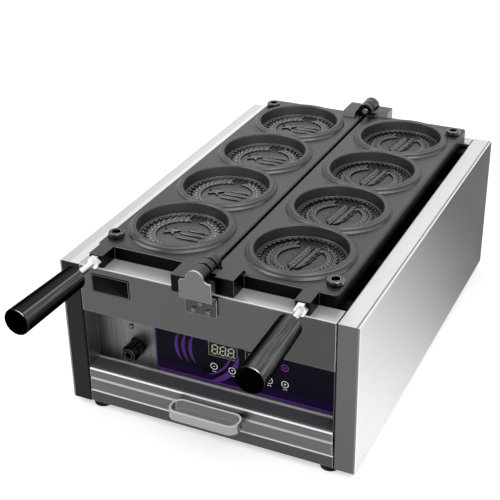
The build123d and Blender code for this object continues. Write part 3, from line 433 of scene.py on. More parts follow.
def recessFinish(name, s):
    steel = Finish(name, 1)
    grain = steel.group("grain", Stretch=s["stretch"], Contrast=s["contrast"])
    edge = steel.group("edge", **fineEdge)
    facing = steel.mask("facing", **upward)
    tones = [steel.blend(grain["Lines"], tint(s[label], low), tint(s[label], high))
             for label, (low, high) in (("dark", s["darkGrain"]), ("light", s["lightGrain"]))]
    # painted reflection: darker to the left, lighter to the right, and lighter on faces turned right
    wall = steel.blend(steel.fade(s["lightFrom"], s["lightDirection"]), *tones)
    wall = steel.blend(steel.mask("facing", **rightward), wall, s["side"])
    # painted highlight on the shelf behind the rear line and on the front rim, painted shade on the other
    # faces at the rim
    rear = steel.fade((0, s["rearLine"], 0), (0, hardLine, 0))
    shelf = steel.blend(rear, s["shelf"], tint(s["rim"], s["rearTone"]))
    rim = steel.fade((0, s["rimDepth"], 0), (0, -s["rimFade"], 0))
    toned = steel.blend(rim, steel.blend(facing, wall, shelf), steel.blend(facing, s["jambShade"], s["rim"]))
    steel.feed("Metallic", steel.spread(facing, 1, s["topMetal"]))
    finishSteel(steel, grain, edge, toned, s["roughness"])


# Cast moulds with a dark non-stick coating

castSet = {"pores": 1100, "blotches": 16, "edgeReach": 0.0011, "sharpness": 4.5, "roughnessSpread": 0.1,
           "bump": 0.16, "bumpDepth": 0.0003, "floorFade": 1000, "cupsFade": 120}
ringGlint = {"Direction": (-0.15, -0.79, 0.59), "Low": 0.95, "High": 0.998}
# painted light and shade on the coating: upward faces are lighter; walls are near black as painted shade;
# walls inside the cups are lighter as painted reflection; cup floors are lighter as painted highlight; a
# painted glint sits at the foot of each ring
mouldCoat = {"flat": grey(0.056), "blotch": grey(0.082), "wall": grey(0.007), "cupWall": grey(0.044),
             "inCup": grey(0.2), "cupNear": (14, 2), "cupFar": (135, 2), "floor": grey(0.1),
             "edgeHighlight": grey(0.27), "glint": grey(0.2), "cupsFrom": 34, "floorLevel": 197,
             "roughness": 0.34, "edgeHighlightAmount": 0.6}
reliefCoat = {**mouldCoat, "flat": grey(0.09), "blotch": grey(0.15), "cupWall": grey(0.01),
              "inCup": grey(0.01), "edgeHighlight": grey(0.6), "roughness": 0.2, "edgeHighlightAmount": 0.8}
rightShade = 0.56   # painted shade: the right half is darker in its cups


def darker(s, labels):
    return {**s, **{label: tint(s[label], rightShade) for label in labels}}


def castFinish(name, s):
    cast = Finish(name, 1)
    skin = cast.group("cast", Pore_Scale=castSet["pores"], Blotch_Scale=castSet["blotches"])
    edge = cast.group("edge", Radius=castSet["edgeReach"], Sharpness=castSet["sharpness"])
    deep = cast.fade((0, 0, s["floorLevel"]), (0, 0, -castSet["floorFade"]))
    cups = cast.fade((0, s["cupsFrom"], 0), (0, castSet["cupsFade"], 0))
    # painted highlight: below the floor level the cup floors are lighter
    flat = cast.blend(deep, cast.blend(skin["Blotches"], s["flat"], s["blotch"]), s["floor"])
    # walls inside the cups take their own grey, as painted reflection on the mould halves and painted shade
    # on the reliefs; the other walls are painted near black as shade
    inCup = cast.blend(cast.beyond(*s["cupFar"]), s["inCup"], s["cupWall"])
    inCup = cast.blend(cast.beyond(*s["cupNear"]), s["cupWall"], inCup)
    inCup = cast.blend(deep, inCup, s["cupWall"])
    wall = cast.blend(cups, s["wall"], inCup)
    # painted light: upward faces take the lighter grey
    toned = cast.blend(cast.mask("facing", **castUpward), wall, flat)
    toned = cast.blend(cast.mask("facing", **ringGlint), toned, s["glint"])
    # painted highlight along rounded edges
    edgeHighlight = cast.spread(edge["Mask"], 0, s["edgeHighlightAmount"])
    cast.feed("Base Color", cast.blend(edgeHighlight, toned, s["edgeHighlight"]))
    cast.roughen(skin["Pores"], s["roughness"], castSet["roughnessSpread"])
    cast.bump(skin["Pores"], castSet["bump"], castSet["bumpDepth"], edge["Normal"])


# Turned grips: black, with fine lengthwise ribs; a painted reflection band, one painted highlight streak, a
# painted glint on the front edge and painted shade on the front end

gripEnd = {"Direction": (0, -1, 0), "Low": 0.5, "High": 0.8}
gripGlint = {"Direction": (0.3, -0.62, 0.72), "Low": 0.93, "High": 0.985}
gripBlack = {"dark": grey(0.026), "rib": grey(0.155), "ribShade": 0.35, "streak": grey(0.22),
             "end": grey(0.001), "glint": grey(0.8), "glancing": 0.25, "roughness": 0.3,
             "roughnessSpread": 0.06, "stretch": (800, 7, 800), "contrast": 3.2, "streakDepth": 0.7,
             "bump": 0.1, "bumpDepth": 0.00015,
             "bandOn": {"Direction": (0.91, 0, 0.41), "Low": 0.9, "High": 0.985},
             "streakOn": {"Direction": (0.62, 0, 0.785), "Low": 0.9955, "High": 0.9995}}
rightGripBlack = {**gripBlack, "dark": grey(0.034), "rib": grey(0.15),
                  "bandOn": {"Direction": (0.64, 0, 0.77), "Low": 0.45, "High": 0.99},
                  "streakOn": {"Direction": (0.8, 0, 0.6), "Low": 0.9955, "High": 0.9995}}


def gripFinish(name, s):
    grip = Finish(name, 1)
    grip.dim(s["glancing"])
    grain = grip.group("grain", Stretch=s["stretch"], Contrast=s["contrast"])
    ribs = grip.blend(grain["Lines"], tint(s["rib"], s["ribShade"]), s["rib"])
    # painted reflection band, painted highlight streak and glint, painted shade on the front end
    body = grip.blend(grip.mask("facing", **s["bandOn"]), s["dark"], ribs)
    streak = grip.spread(grip.mask("facing", **s["streakOn"]), 0, s["streakDepth"])
    lined = grip.blend(grip.mask("facing", **gripGlint), grip.blend(streak, body, s["streak"]), s["glint"])
    grip.feed("Base Color", grip.blend(grip.mask("facing", **gripEnd), lined, s["end"]))
    grip.roughen(grain["Clouds"], s["roughness"], s["roughnessSpread"])
    grip.bump(grain["Lines"], s["bump"], s["bumpDepth"])


# Keypad film: nearly black, turning purple towards its lower edge

filmSet = {"dark": (0.0055, 0.005, 0.01), "purple": (0.052, 0.018, 0.13), "fadeFrom": (0, 24, 72),
           "fadeDirection": (0, 0, -58), "roughness": 0.32, "roughnessSpread": 0.05, "pores": 1500,
           "blotches": 30, "blotchTones": (0.8, 1.2), "bump": 0.03, "bumpDepth": 0.0001}


def filmFinish(name, s):
    film = Finish(name, 1)
    skin = film.group("cast", Pore_Scale=s["pores"], Blotch_Scale=s["blotches"])
    dark = film.blend(skin["Blotches"], *(tint(s["dark"], tone) for tone in s["blotchTones"]))
    film.feed("Base Color", film.blend(film.fade(s["fadeFrom"], s["fadeDirection"]), dark, s["purple"]))
    film.roughen(skin["Pores"], s["roughness"], s["roughnessSpread"])
    film.bump(skin["Pores"], s["bump"], s["bumpDepth"])


# Plastics, rubber, small metal parts and hidden parts

plainSet = {"pores": 500, "blotches": 20, "blotchTones": (0.85, 1.15), "edgeReach": 0.0007,
            "sharpness": 5, "roughnessSpread": 0.06, "bumpDepth": 0.00015}
glowSet = {"pores": 300, "blotches": 60, "blotchTone": 0.9, "roughness": 0.4}


def plainFinish(name, colour, roughness, metallic=0, specular=0.5, depth=0.08, edgeGlint=None):
    s = plainSet
    plain = Finish(name, metallic, specular)
    skin = plain.group("cast", Pore_Scale=s["pores"], Blotch_Scale=s["blotches"])
    toned = plain.blend(skin["Blotches"], *(tint(colour, tone) for tone in s["blotchTones"]))
    # painted highlight: edges take a light grey as a glint
    if edgeGlint:
        edge = plain.mask("edge", Radius=s["edgeReach"], Sharpness=s["sharpness"])
        toned = plain.blend(edge, toned, (edgeGlint,) * 3)
    plain.feed("Base Color", toned)
    plain.roughen(skin["Pores"], roughness, s["roughnessSpread"])
    plain.bump(skin["Pores"], depth, s["bumpDepth"])


def glowFinish(name, colour, strength):
    s = glowSet
    glow = Finish(name, 0)
    skin = glow.group("cast", Pore_Scale=s["pores"], Blotch_Scale=s["blotches"])
    lit = glow.blend(skin["Blotches"], tint(colour, s["blotchTone"]), colour)
    glow.feed("Base Color", lit)
    glow.feed("Emission Color", lit)
    glow.shader.inputs["Emission Strength"].default_value = strength
    glow.shader.inputs["Roughness"].default_value = s["roughness"]


coverFinish("coverSteel", coverSteel)
postFinish("leftPostSteel", postSteel, "left")
postFinish("rightPostSteel", postSteel, "right")
sheetFinish("fasciaSteel", fasciaSteel)
sheetFinish("drawerSteel", drawerSteel)
sheetFinish("railSteel", railSteel)
sheetFinish("backSteel", backSteel)
sheetFinish("bracketSteel", bracketSteel)
sheetFinish("handleSteel", handleSteel)
recessFinish("recessSteel", recessSteel)
castFinish("leftMouldCoating", mouldCoat)
castFinish("rightMouldCoating", darker(mouldCoat, ("floor", "cupWall")))
castFinish("leftReliefCoating", reliefCoat)
castFinish("rightReliefCoating", darker(reliefCoat, ("flat", "blotch", "floor", "edgeHighlight")))
gripFinish("leftGripBlack", gripBlack)
gripFinish("rightGripBlack", rightGripBlack)
# painted shade: the steel inside the cabinet is painted near black
plainFinish("sootySteel", grey(0.012), 0.5, metallic=1, depth=0.1)
plainFinish("footRubber", grey(0.01), 0.75, specular=0.1)
plainFinish("brightScrew", (0.6, 0.6, 0.62), 0.2, metallic=1, depth=0.02)
# the pan and dark screws and the gland below carry a painted glint on their edges
plainFinish("panScrew", grey(0.1), 0.2, metallic=1, depth=0.02, edgeGlint=0.55)
plainFinish("darkScrew", grey(0.06), 0.2, metallic=1, depth=0.05, edgeGlint=0.9)
plainFinish("knurledSteel", grey(0.3), 0.22, metallic=1, depth=0.02)
plainFinish("rodSteel", grey(0.8), 0.2, metallic=1, depth=0.02)
plainFinish("glandNylon", grey(0.008), 0.14, metallic=1, depth=0.03, edgeGlint=0.3)
filmFinish("overlayFilm", filmSet)
plainFinish("overlayPurple", (0.105, 0.03, 0.23), 0.5, specular=0.1, depth=0.02)
plainFinish("keyCap", (0.006, 0.005, 0.01), 0.35, metallic=1)
plainFinish("startKeyCap", (0.02, 0.006, 0.034), 0.35, metallic=1)
plainFinish("startKeyRing", (0.26, 0.055, 0.34), 0.5, specular=0.1, depth=0)
plainFinish("whitePrint", (0.86, 0.86, 0.88), 0.5, specular=0.1, depth=0)
plainFinish("displayWindow", (0.012, 0.012, 0.011), 0.2, metallic=1)
plainFinish("displayBezel", (0.22, 0.215, 0.165), 0.5, specular=0.1)
glowFinish("litSegment", (0.46, 0.45, 0.35), 0.3)
plainFinish("platePaint", grey(0.003), 0.3, metallic=1, depth=0.03)
plainFinish("plateLine", grey(0.28), 0.4, specular=0.1, depth=0)
plainFinish("boardGreen", (0.01, 0.1, 0.045), 0.4)
plainFinish("relayCase", (0.02, 0.02, 0.022), 0.45)
plainFinish("terminalCeramic", (0.7, 0.67, 0.58), 0.45)
plainFinish("elementSheath", (0.03, 0.027, 0.025), 0.42, metallic=0.9, depth=0.1)
plainFinish("standoffBrass", (0.62, 0.46, 0.19), 0.3, metallic=1)

nodeFinish = {
    "coverSteel": ("side_cover_left", "side_cover_right"),
    "leftPostSteel": ("side_frame_left",),
    "rightPostSteel": ("side_frame_right",),
    "fasciaSteel": ("front_fascia",),
    "drawerSteel": ("drawer_front", "drawer_tray"),
    "railSteel": ("base_pan",),
    "backSteel": ("rear_ledge", "back_panel"),
    "recessSteel": ("recess_panel",),
    "sootySteel": ("heat_shield", "bulkhead", "element_bars", "element_straps", "rest_rails",
                   "drawer_runners"),
    "handleSteel": ("drawer_handle",),
    "bracketSteel": ("hinge_bracket_front", "hinge_bracket_rear"),
    "leftMouldCoating": ("mould_left",),
    "rightMouldCoating": ("mould_right",),
    "leftGripBlack": ("grip_left",),
    "rightGripBlack": ("grip_right",),
    "footRubber": ("rubber_feet",),
    "brightScrew": ("back_panel_screws", "foot_screws", "drawer_handle_screws"),
    "panScrew": ("recess_screw", "bracket_screws"),
    "darkScrew": ("levelling_screws_left", "levelling_screws_right"),
    "rodSteel": ("handle_rod_left", "handle_rod_right", "handle_nut_left", "handle_nut_right",
                 "hinge_pin_front", "hinge_pin_rear"),
    "knurledSteel": ("temperature_probes",),
    "glandNylon": ("cable_gland", "gland_dome_nut", "gland_locknut"),
    "overlayFilm": ("overlay_panel",),
    "keyCap": ("key_1", "key_2", "key_3", "key_4", "key_5"),
    "startKeyCap": ("key_6",),
    "displayWindow": ("display_left", "display_right"),
    "boardGreen": ("control_board",),
    "relayCase": ("power_relays",),
    "terminalCeramic": ("terminal_block", "thermal_cutout"),
    "elementSheath": ("heating_element_left", "heating_element_right"),
    "standoffBrass": ("board_standoffs",),
}


def dressNodes():
    for finish, names in nodeFinish.items():
        for name in names:
            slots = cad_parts[name].data.materials
            slots.clear()
            slots.append(finishes[finish])


dressNodes()
print("frame nodes dressed")


# Making pieces

sharpAngle = 38   # degrees between faces from which an edge stays sharp
domeProfile = ((0.97, 0.45), (0.72, 0.9), (0.3, 1))   # share of the outline's size, and of the height
tipProfile = ((0.96, 0.8), (0.05, 1.3))
flatProfile = ((1, 0.7), (0.96, 1))
printSink = 0.05


def addPiece(name, mesh, finish, body, smooth=True):
    mesh.normal_update()
    bmesh.ops.recalc_face_normals(mesh, faces=mesh.faces)
    data = bpy.data.meshes.new(name)
    mesh.to_mesh(data)
    mesh.free()
    data.materials.append(finishes[finish])
    piece = bpy.data.objects.new(name, data)
    bpy.context.scene.collection.objects.link(piece)
    if smooth:
        for polygon in data.polygons:
            polygon.use_smooth = True
        data.set_sharp_from_angle(angle=math.radians(sharpAngle))
    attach(piece, body)


def layersOf(profile, height, sink):
    return ((1, -sink), *((scale, height * share) for scale, share in profile))


def flatLayers(height, sink=printSink):
    return layersOf(flatProfile, height, sink)


def joinLoops(mesh, loops):
    for low, high in zip(loops, loops[1:]):
        count = len(low)
        for i in range(count):
            j = (i + 1) % count
            mesh.faces.new((low[i], low[j], high[j], high[i]))


def raiseShape(mesh, outline, layers, place):
    rings = []
    middle = Vector((sum(p[0] for p in outline), sum(p[1] for p in outline))) / len(outline)
    for scale, height in layers:
        ring = []
        for x, y in outline:
            flat = middle + (Vector((x, y)) - middle) * scale
            ring.append(mesh.verts.new(place @ Vector((flat.x, flat.y, height))))
        rings.append(ring)
    joinLoops(mesh, rings)
    mesh.faces.new(list(reversed(rings[0])))
    mesh.faces.new(rings[-1])


ridgeSet = {"shoulder": 0.42, "shoulderHeight": 0.55, "sink": 0.3, "tip": 0.35, "taperPower": 0.6}


def sweepRidge(mesh, points, width, height, place):
    s = ridgeSet
    shoulder = height * s["shoulderHeight"]
    profile = ((-0.5, -s["sink"]), (-s["shoulder"], shoulder), (0, height), (s["shoulder"], shoulder),
               (0.5, -s["sink"]))
    rows = []
    count = len(points)
    for i, point in enumerate(points):
        before = Vector(points[max(i - 1, 0)])
        after = Vector(points[min(i + 1, count - 1)])
        along = (after - before).normalized()
        side = Vector((-along.y, along.x))
        taper = s["tip"] + (1 - s["tip"]) * math.sin(math.pi * (i + 0.5) / count) ** s["taperPower"]
        row = []
        for across, level in profile:
            spot = Vector(point) + side * across * width * taper
            row.append(mesh.verts.new(place @ Vector((spot.x, spot.y, level))))
        rows.append(row)
    joinLoops(mesh, rows)
    mesh.faces.new(rows[0])
    mesh.faces.new(list(reversed(rows[-1])))


def ovalOutline(length, width, count=10, pointed=0):
    outline = []
    for i in range(count):
        angle = 2 * math.pi * i / count
        pinch = 1 - pointed * abs(math.cos(angle)) ** 2
        outline.append((length / 2 * math.cos(angle), width / 2 * math.sin(angle) * pinch))
    return outline


def onCircle(radius, angle):
    return radius * math.cos(math.radians(angle)), radius * math.sin(math.radians(angle))


def starOutline(outer, inner, tips):
    return [onCircle(inner if i % 2 else outer, 90 + 180 * i / tips) for i in range(2 * tips)]


def arcPoints(radius, start, end, count):
    return [onCircle(radius, start + (end - start) * i / (count - 1)) for i in range(count)]


def turned(x, y, angle):
    return Matrix.Translation((x, y, 0)) @ Matrix.Rotation(math.radians(angle), 4, "Z")


def capsule(length, width, count=6):
    straight = (length - width) / 2
    right = [(straight + x, y) for x, y in arcPoints(width / 2, -90, 90, count)]
    left = [(x - straight, y) for x, y in arcPoints(width / 2, 90, 270, count)]
    return right + left


def roundedOutline(width, height, corner, count=5):
    outline = []
    for sx, sy, start in ((1, 1, 0), (-1, 1, 90), (-1, -1, 180), (1, -1, 270)):
        middle = (sx * (width / 2 - corner), sy * (height / 2 - corner))
        outline += [(middle[0] + x, middle[1] + y) for x, y in arcPoints(corner, start, start + 90, count)]
    return outline


def rectangle(x0, x1, y0, y1):
    return [(x0, y0), (x1, y0), (x1, y1), (x0, y1)]


def frameBars(x, y, b):   # four bars of width b round a rectangle from -x to x and from -y to y
    return (rectangle(-x, x, y - b, y), rectangle(-x, x, -y, b - y), rectangle(-x, b - x, b - y, y - b),
            rectangle(x - b, x, b - y, y - b))


# Reliefs in the cups: a wreath with a star and bars on the left, an ear of grain on the right

cupSet = {"floor": 195.5, "offset": 75, "first": 99.55, "pitch": 115.3, "count": 4, "sink": 0.3,
          "lowRidge": 0.7, "beadPoints": 8, "branchWidth": 2, "leafPoint": 0.45}
wreathSet = {"height": 2.3, "beads": 38, "beadRadius": 47.6, "beadSize": 4.6, "branchRadius": 38,
             "branchSpan": (8, 165), "branchPoints": 24, "leaves": 15, "paired": True, "leafSpan": (12, 150),
             "leafLength": 12, "leafWidth": 5.4, "leafLean": 30, "leafOffset": 3.6, "star": 11.5,
             "starInner": 0.42, "starTips": 5, "starAt": (-16, 2), "barWidth": 5.2,
             "bars": ((14, 11, 27), (11, 1.5, 33), (9, -8.5, 30))}
earSet = {"height": 2.4, "strands": 44, "ropeRadius": 47.4, "strandLength": 6.8, "strandWidth": 3.2,
          "strandLean": 52, "stemFoot": (-3, -34), "stemRise": 62, "stemBend": 8, "stemTurn": 0.9,
          "stemSteps": 14, "stemWidth": 3.2, "grainPairs": 9, "grainSpan": (0.26, 0.72), "grainLength": 13.5,
          "grainWidth": 6, "grainPoint": 0.4, "grainOffset": 5.4, "grainLean": 34, "beardWidth": 1.4,
          "beard": ((9, 4), (12, 10), (14, 17)), "branchRadius": 34, "branchSpan": (20, 150),
          "branchPoints": 20, "leaves": 26, "paired": False, "leafSpan": (22, 128), "leafLength": 11.5,
          "leafWidth": 5.2, "leafLean": 32, "leafOffset": 4.2}


def addBranches(mesh, s, layers, place):   # two, each from the lowest point of the cup up one side
    leaf = ovalOutline(s["leafLength"], s["leafWidth"], pointed=cupSet["leafPoint"])
    start, sweep = s["leafSpan"]
    for side in (-1, 1):
        low, high = (-90 + side * angle for angle in s["branchSpan"])
        branch = arcPoints(s["branchRadius"], low, high, s["branchPoints"])
        sweepRidge(mesh, branch, cupSet["branchWidth"], s["height"] * cupSet["lowRidge"], place)
        for i in range(s["leaves"]):
            around = -90 + side * (start + sweep * i / (s["leaves"] - 1))
            for outer in (-1, 1) if s["paired"] else (1 if i % 2 else -1,):
                middle = onCircle(s["branchRadius"] + outer * s["leafOffset"], around)
                spot = turned(*middle, around + side * (90 - outer * s["leafLean"]))
                raiseShape(mesh, leaf, layers, place @ spot)


def wreathRelief(place):
    mesh = bmesh.new()
    s = wreathSet
    layers = layersOf(domeProfile, s["height"], cupSet["sink"])
    bead = ovalOutline(s["beadSize"], s["beadSize"], cupSet["beadPoints"])
    for i in range(s["beads"]):
        raiseShape(mesh, bead, layers, place @ turned(*onCircle(s["beadRadius"], 360 * i / s["beads"]), 0))
    addBranches(mesh, s, layers, place)
    star = starOutline(s["star"], s["star"] * s["starInner"], s["starTips"])
    raiseShape(mesh, star, layersOf(tipProfile, s["height"], cupSet["sink"]), place @ turned(*s["starAt"], 0))
    for x, y, length in s["bars"]:
        raiseShape(mesh, capsule(length, s["barWidth"]), layers, place @ turned(x, y, 0))
    return mesh


def earStem(t):   # a point of the bent stem, from 0 at its foot to 1 at its top
    s = earSet
    x, y = s["stemFoot"]
    return x + s["stemBend"] * math.sin(s["stemTurn"] * t), y + s["stemRise"] * t


def earRelief(place):
    mesh = bmesh.new()
    s = earSet
    layers = layersOf(domeProfile, s["height"], cupSet["sink"])
    strand = ovalOutline(s["strandLength"], s["strandWidth"], cupSet["beadPoints"])
    for i in range(s["strands"]):
        around = 360 * i / s["strands"]
        spot = turned(*onCircle(s["ropeRadius"], around), around + s["strandLean"])
        raiseShape(mesh, strand, layers, place @ spot)
    steps = s["stemSteps"]
    sweepRidge(mesh, [earStem(i / steps) for i in range(steps + 1)], s["stemWidth"], s["height"], place)
    grain = ovalOutline(s["grainLength"], s["grainWidth"], pointed=s["grainPoint"])
    start, sweep = s["grainSpan"]
    for i in range(s["grainPairs"]):
        x, y = earStem(start + sweep * i / (s["grainPairs"] - 1))
        for side in (-1, 1):
            spot = turned(x + side * s["grainOffset"], y, 90 - side * s["grainLean"])
            raiseShape(mesh, grain, layers, place @ spot)
            if i % 2 == 0:
                beard = [(x + side * out, y + up) for out, up in s["beard"]]
                sweepRidge(mesh, beard, s["beardWidth"], s["height"] * cupSet["lowRidge"], place)
    addBranches(mesh, s, layers, place)
    return mesh


def addReliefs():
    for side, sign, build in (("left", -1, wreathRelief), ("right", 1, earRelief)):
        for i in range(cupSet["count"]):
            y = cupSet["first"] + i * cupSet["pitch"]
            middle = inCabinet(sign * cupSet["offset"], y, cupSet["floor"])
            place = Matrix.Translation(middle) @ Matrix.Scale(mm, 4)
            addPiece(f"cupRelief_{side}_{i + 1}", build(place), f"{side}ReliefCoating",
                     f"mould_half_{side}")


addReliefs()
print("cup reliefs made")


# Controls: print on the overlay, display digits, key marks and the bare plate

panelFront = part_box("overlay_panel")[0].y / mm


def panelPlace(x, level, front):
    spot = Matrix.Translation((x, front, level + cabinetShift.z))
    return Matrix.Scale(mm, 4) @ spot @ Matrix.Rotation(math.radians(90), 4, "X")


def frontFace(node):   # its front face in millimetres: x, level and front of the middle, and the half sides
    low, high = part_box(node)
    middle = ((low.x + high.x) / 2 / mm, (low.z + high.z) / 2 / mm - cabinetShift.z, low.y / mm)
    return middle, (high.x - low.x) / 2 / mm, (high.z - low.z) / 2 / mm


overlaySet = {"left": -75.3, "right": 147.9, "bottom": 54.8, "top": 125, "border": 1, "margin": 0.6,
              "bandMargin": 0.7, "levelMargin": 0.8, "bandHeight": 3.2, "barRelief": 0.06, "tip": 0.04,
              "taperPower": 0.7, "ripples": (-48, -39, -30), "rippleRadius": 34,
              "rippleSpan": (148, 216), "rippleWidth": 4.4, "rippleRelief": 0.08, "rippleSteps": 20,
              "ripplesLevel": 96,
              "swooshes": ((54, 7.5, (0, 0.534)), (54, 7.5, (0.711, 1)), (45, 3, (0, 1))),
              "swooshAt": (-22, 108), "swooshSpan": (-74, -8), "swooshRelief": 0.07, "swooshSteps": 28}


def crescent(mesh, radius, width, span, place, height, count, part=(0, 1)):
    start, end = span
    first, last = part
    rows = []
    for i in range(count):
        t = first + (last - first) * i / (count - 1)
        angle = start + (end - start) * t
        half = width / 2 * max(overlaySet["tip"], math.sin(math.pi * t)) ** overlaySet["taperPower"]
        outer, inner = onCircle(radius + half, angle), onCircle(radius - half, angle)
        corners = ((outer, -printSink), (outer, height), (inner, height), (inner, -printSink))
        rows.append([mesh.verts.new(place @ Vector((*spot, z))) for spot, z in corners])
    joinLoops(mesh, rows)
    mesh.faces.new(rows[0])
    mesh.faces.new(list(reversed(rows[-1])))


def addOverlayPrint():
    s = overlaySet
    mesh = bmesh.new()
    radius = s["rippleRadius"]
    for x in s["ripples"]:
        middle = panelPlace(x + radius, s["ripplesLevel"], panelFront)
        crescent(mesh, radius, s["rippleWidth"], s["rippleSpan"], middle, s["rippleRelief"], s["rippleSteps"])
    middle = panelPlace(*s["swooshAt"], panelFront)
    for radius, width, part in s["swooshes"]:   # the wide one is broken where the second key goes in
        crescent(mesh, radius, width, s["swooshSpan"], middle, s["swooshRelief"], s["swooshSteps"], part)
    addPiece("overlayRipples", mesh, "overlayPurple", "cabinet")
    mesh = bmesh.new()
    left = s["left"] + s["margin"]
    bandLeft = s["left"] + s["bandMargin"] + s["border"]
    bottom = s["bottom"] + s["levelMargin"]
    for bar in (rectangle(left, left + s["border"], bottom, s["top"] - s["levelMargin"]),
                rectangle(bandLeft, s["right"] - s["bandMargin"], bottom, s["bottom"] + s["bandHeight"])):
        raiseShape(mesh, bar, flatLayers(s["barRelief"]), panelPlace(0, 0, panelFront))
    addPiece("overlayBorder", mesh, "overlayPurple", "cabinet", smooth=False)


digitSet = {"height": 11.5, "width": 6.6, "stroke": 1.5, "gap": 0.25, "pitch": 10.2, "slant": 0.09,
            "dot": 1.5, "dotAt": 4.5, "dotPoints": 8, "relief": 0.12, "margin": 0.6, "border": 1,
            "borderRelief": 0.2}


def segmentShapes(s):
    h = s["height"] / 2
    w = s["width"] / 2
    t = s["stroke"] / 2
    gap = s["gap"]
    flat = [(-w + gap + t, 0), (-w + gap + 2 * t, t), (w - gap - 2 * t, t), (w - gap - t, 0),
            (w - gap - 2 * t, -t), (-w + gap + 2 * t, -t)]
    upright = [(0, gap), (t, gap + t), (t, h - gap - t), (0, h - gap), (-t, h - gap - t), (-t, gap + t)]
    shapes = [[(x, y + level) for x, y in flat] for level in (-h, 0, h)]
    for x0 in (-w, w):
        for y0 in (-h, 0):
            shapes.append([(x + x0, y + y0) for x, y in upright])
    return shapes


def addDisplays():
    s = digitSet
    slant = Matrix(((1, s["slant"], 0, 0), (0, 1, 0, 0), (0, 0, 1, 0), (0, 0, 0, 1)))
    dot = ovalOutline(s["dot"], s["dot"], s["dotPoints"])
    for side in ("left", "right"):
        (x, level, front), halfX, halfZ = frontFace(f"display_{side}")
        mesh = bmesh.new()
        for index in (-1, 0, 1):
            place = panelPlace(x + index * s["pitch"], level, front)
            for shape in segmentShapes(s):
                raiseShape(mesh, shape, flatLayers(s["relief"]), place @ slant)
            corner = Matrix.Translation((s["dotAt"], -s["height"] / 2, 0))
            raiseShape(mesh, dot, flatLayers(s["relief"]), place @ corner)
        addPiece(f"displayDigits_{side}", mesh, "litSegment", "cabinet", smooth=False)
        mesh = bmesh.new()
        for bar in frameBars(halfX - s["margin"], halfZ - s["margin"], s["border"]):
            raiseShape(mesh, bar, flatLayers(s["borderRelief"]), panelPlace(x, level, front))
        addPiece(f"displayBezel_{side}", mesh, "displayBezel", "cabinet", smooth=False)


keySet = {"relief": 0.05, "ringRadius": 4.1, "ringWidth": 0.95, "ringPoints": 28, "startKey": 6,
          "labelDrop": 7.6, "labelHalf": 2.5, "labelGap": 0.3, "labelHeight": 0.9}
keyIcons = (ovalOutline(2.6, 2.6, 3), [(1.3, 1.1), (-1.3, 1.1), (0, -1.3)], rectangle(-1.2, 1.2, -0.4, 0.4),
            rectangle(-0.9, 0.9, -0.9, 0.9), ovalOutline(2.4, 2.4, 10), starOutline(1.6, 0.9, 6))


def flatRing(mesh, radius, width, place, height, count):
    outer, inner = radius + width / 2, radius - width / 2
    loops = [[mesh.verts.new(place @ Vector((*onCircle(r, 360 * i / count), z))) for i in range(count)]
             for r, z in ((outer, -printSink), (outer, height), (inner, height), (inner, -printSink))]
    joinLoops(mesh, loops + loops[:1])


def addKeyMarks():
    s = keySet
    labels = bmesh.new()
    for i, icon in enumerate(keyIcons, 1):
        (x, level, front), _, _ = frontFace(f"key_{i}")
        mesh = bmesh.new()
        place = panelPlace(x, level, front)
        flatRing(mesh, s["ringRadius"], s["ringWidth"], place, s["relief"], s["ringPoints"])
        raiseShape(mesh, icon, flatLayers(s["relief"]), place)
        finish = "startKeyRing" if i == s["startKey"] else "whitePrint"
        addPiece(f"keyMark_{i}", mesh, finish, f"key_cap_{i}", smooth=False)
        if i == s["startKey"]:
            continue
        for x0, x1 in ((-s["labelHalf"], -s["labelGap"]), (s["labelGap"], s["labelHalf"])):
            raiseShape(labels, rectangle(x0, x1, 0, s["labelHeight"]), flatLayers(s["relief"]),
                       panelPlace(x, level - s["labelDrop"], panelFront))
    addPiece("overlayLabels", labels, "whitePrint", "cabinet", smooth=False)


plateSet = {"left": -140, "right": -91, "bottom": 157.2, "top": 180.8, "thickness": 0.7, "corner": 1.2,
            "inset": 0.9, "line": 0.4, "lineRelief": 0.05}


def addBarePlate():
    s = plateSet
    width = s["right"] - s["left"]
    height = s["top"] - s["bottom"]
    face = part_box("front_fascia")[0].y / mm
    place = panelPlace((s["left"] + s["right"]) / 2, (s["bottom"] + s["top"]) / 2, face)
    mesh = bmesh.new()
    raiseShape(mesh, roundedOutline(width, height, s["corner"]), flatLayers(s["thickness"], 0), place)
    addPiece("barePlate", mesh, "platePaint", "cabinet")
    mesh = bmesh.new()
    over = place @ Matrix.Translation((0, 0, s["thickness"]))
    for bar in frameBars(width / 2 - s["inset"], height / 2 - s["inset"], s["line"]):
        raiseShape(mesh, bar, flatLayers(s["lineRelief"]), over)
    addPiece("barePlateLine", mesh, "plateLine", "cabinet", smooth=False)


addOverlayPrint()
addDisplays()
addKeyMarks()
addBarePlate()
print("controls and plate made")


# Knurled bands on the levelling screws

knurlSet = {"teeth": 26, "tooth": 0.45, "root": 0.25, "halfWidth": 0.55, "low": 5.4, "high": 1}


def addKnurls():
    s = knurlSet
    for side in ("left", "right"):
        low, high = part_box(f"levelling_screws_{side}")
        radius = (high.x - low.x) / 2 / mm
        root = radius - s["root"]
        rib = [(root, -s["halfWidth"]), (radius + s["tooth"], 0), (root, s["halfWidth"])]
        mesh = bmesh.new()
        for y in (low.y + radius * mm, high.y - radius * mm):
            place = Matrix.Translation(((low.x + high.x) / 2, y, high.z)) @ Matrix.Scale(mm, 4)
            for i in range(s["teeth"]):
                spot = turned(0, 0, 360 * i / s["teeth"])
                raiseShape(mesh, rib, ((1, -s["low"]), (1, -s["high"])), place @ spot)
        addPiece(f"screwKnurl_{side}", mesh, "knurledSteel", f"mould_half_{side}", smooth=False)


addKnurls()
print("knurls made")


# Floor and lights

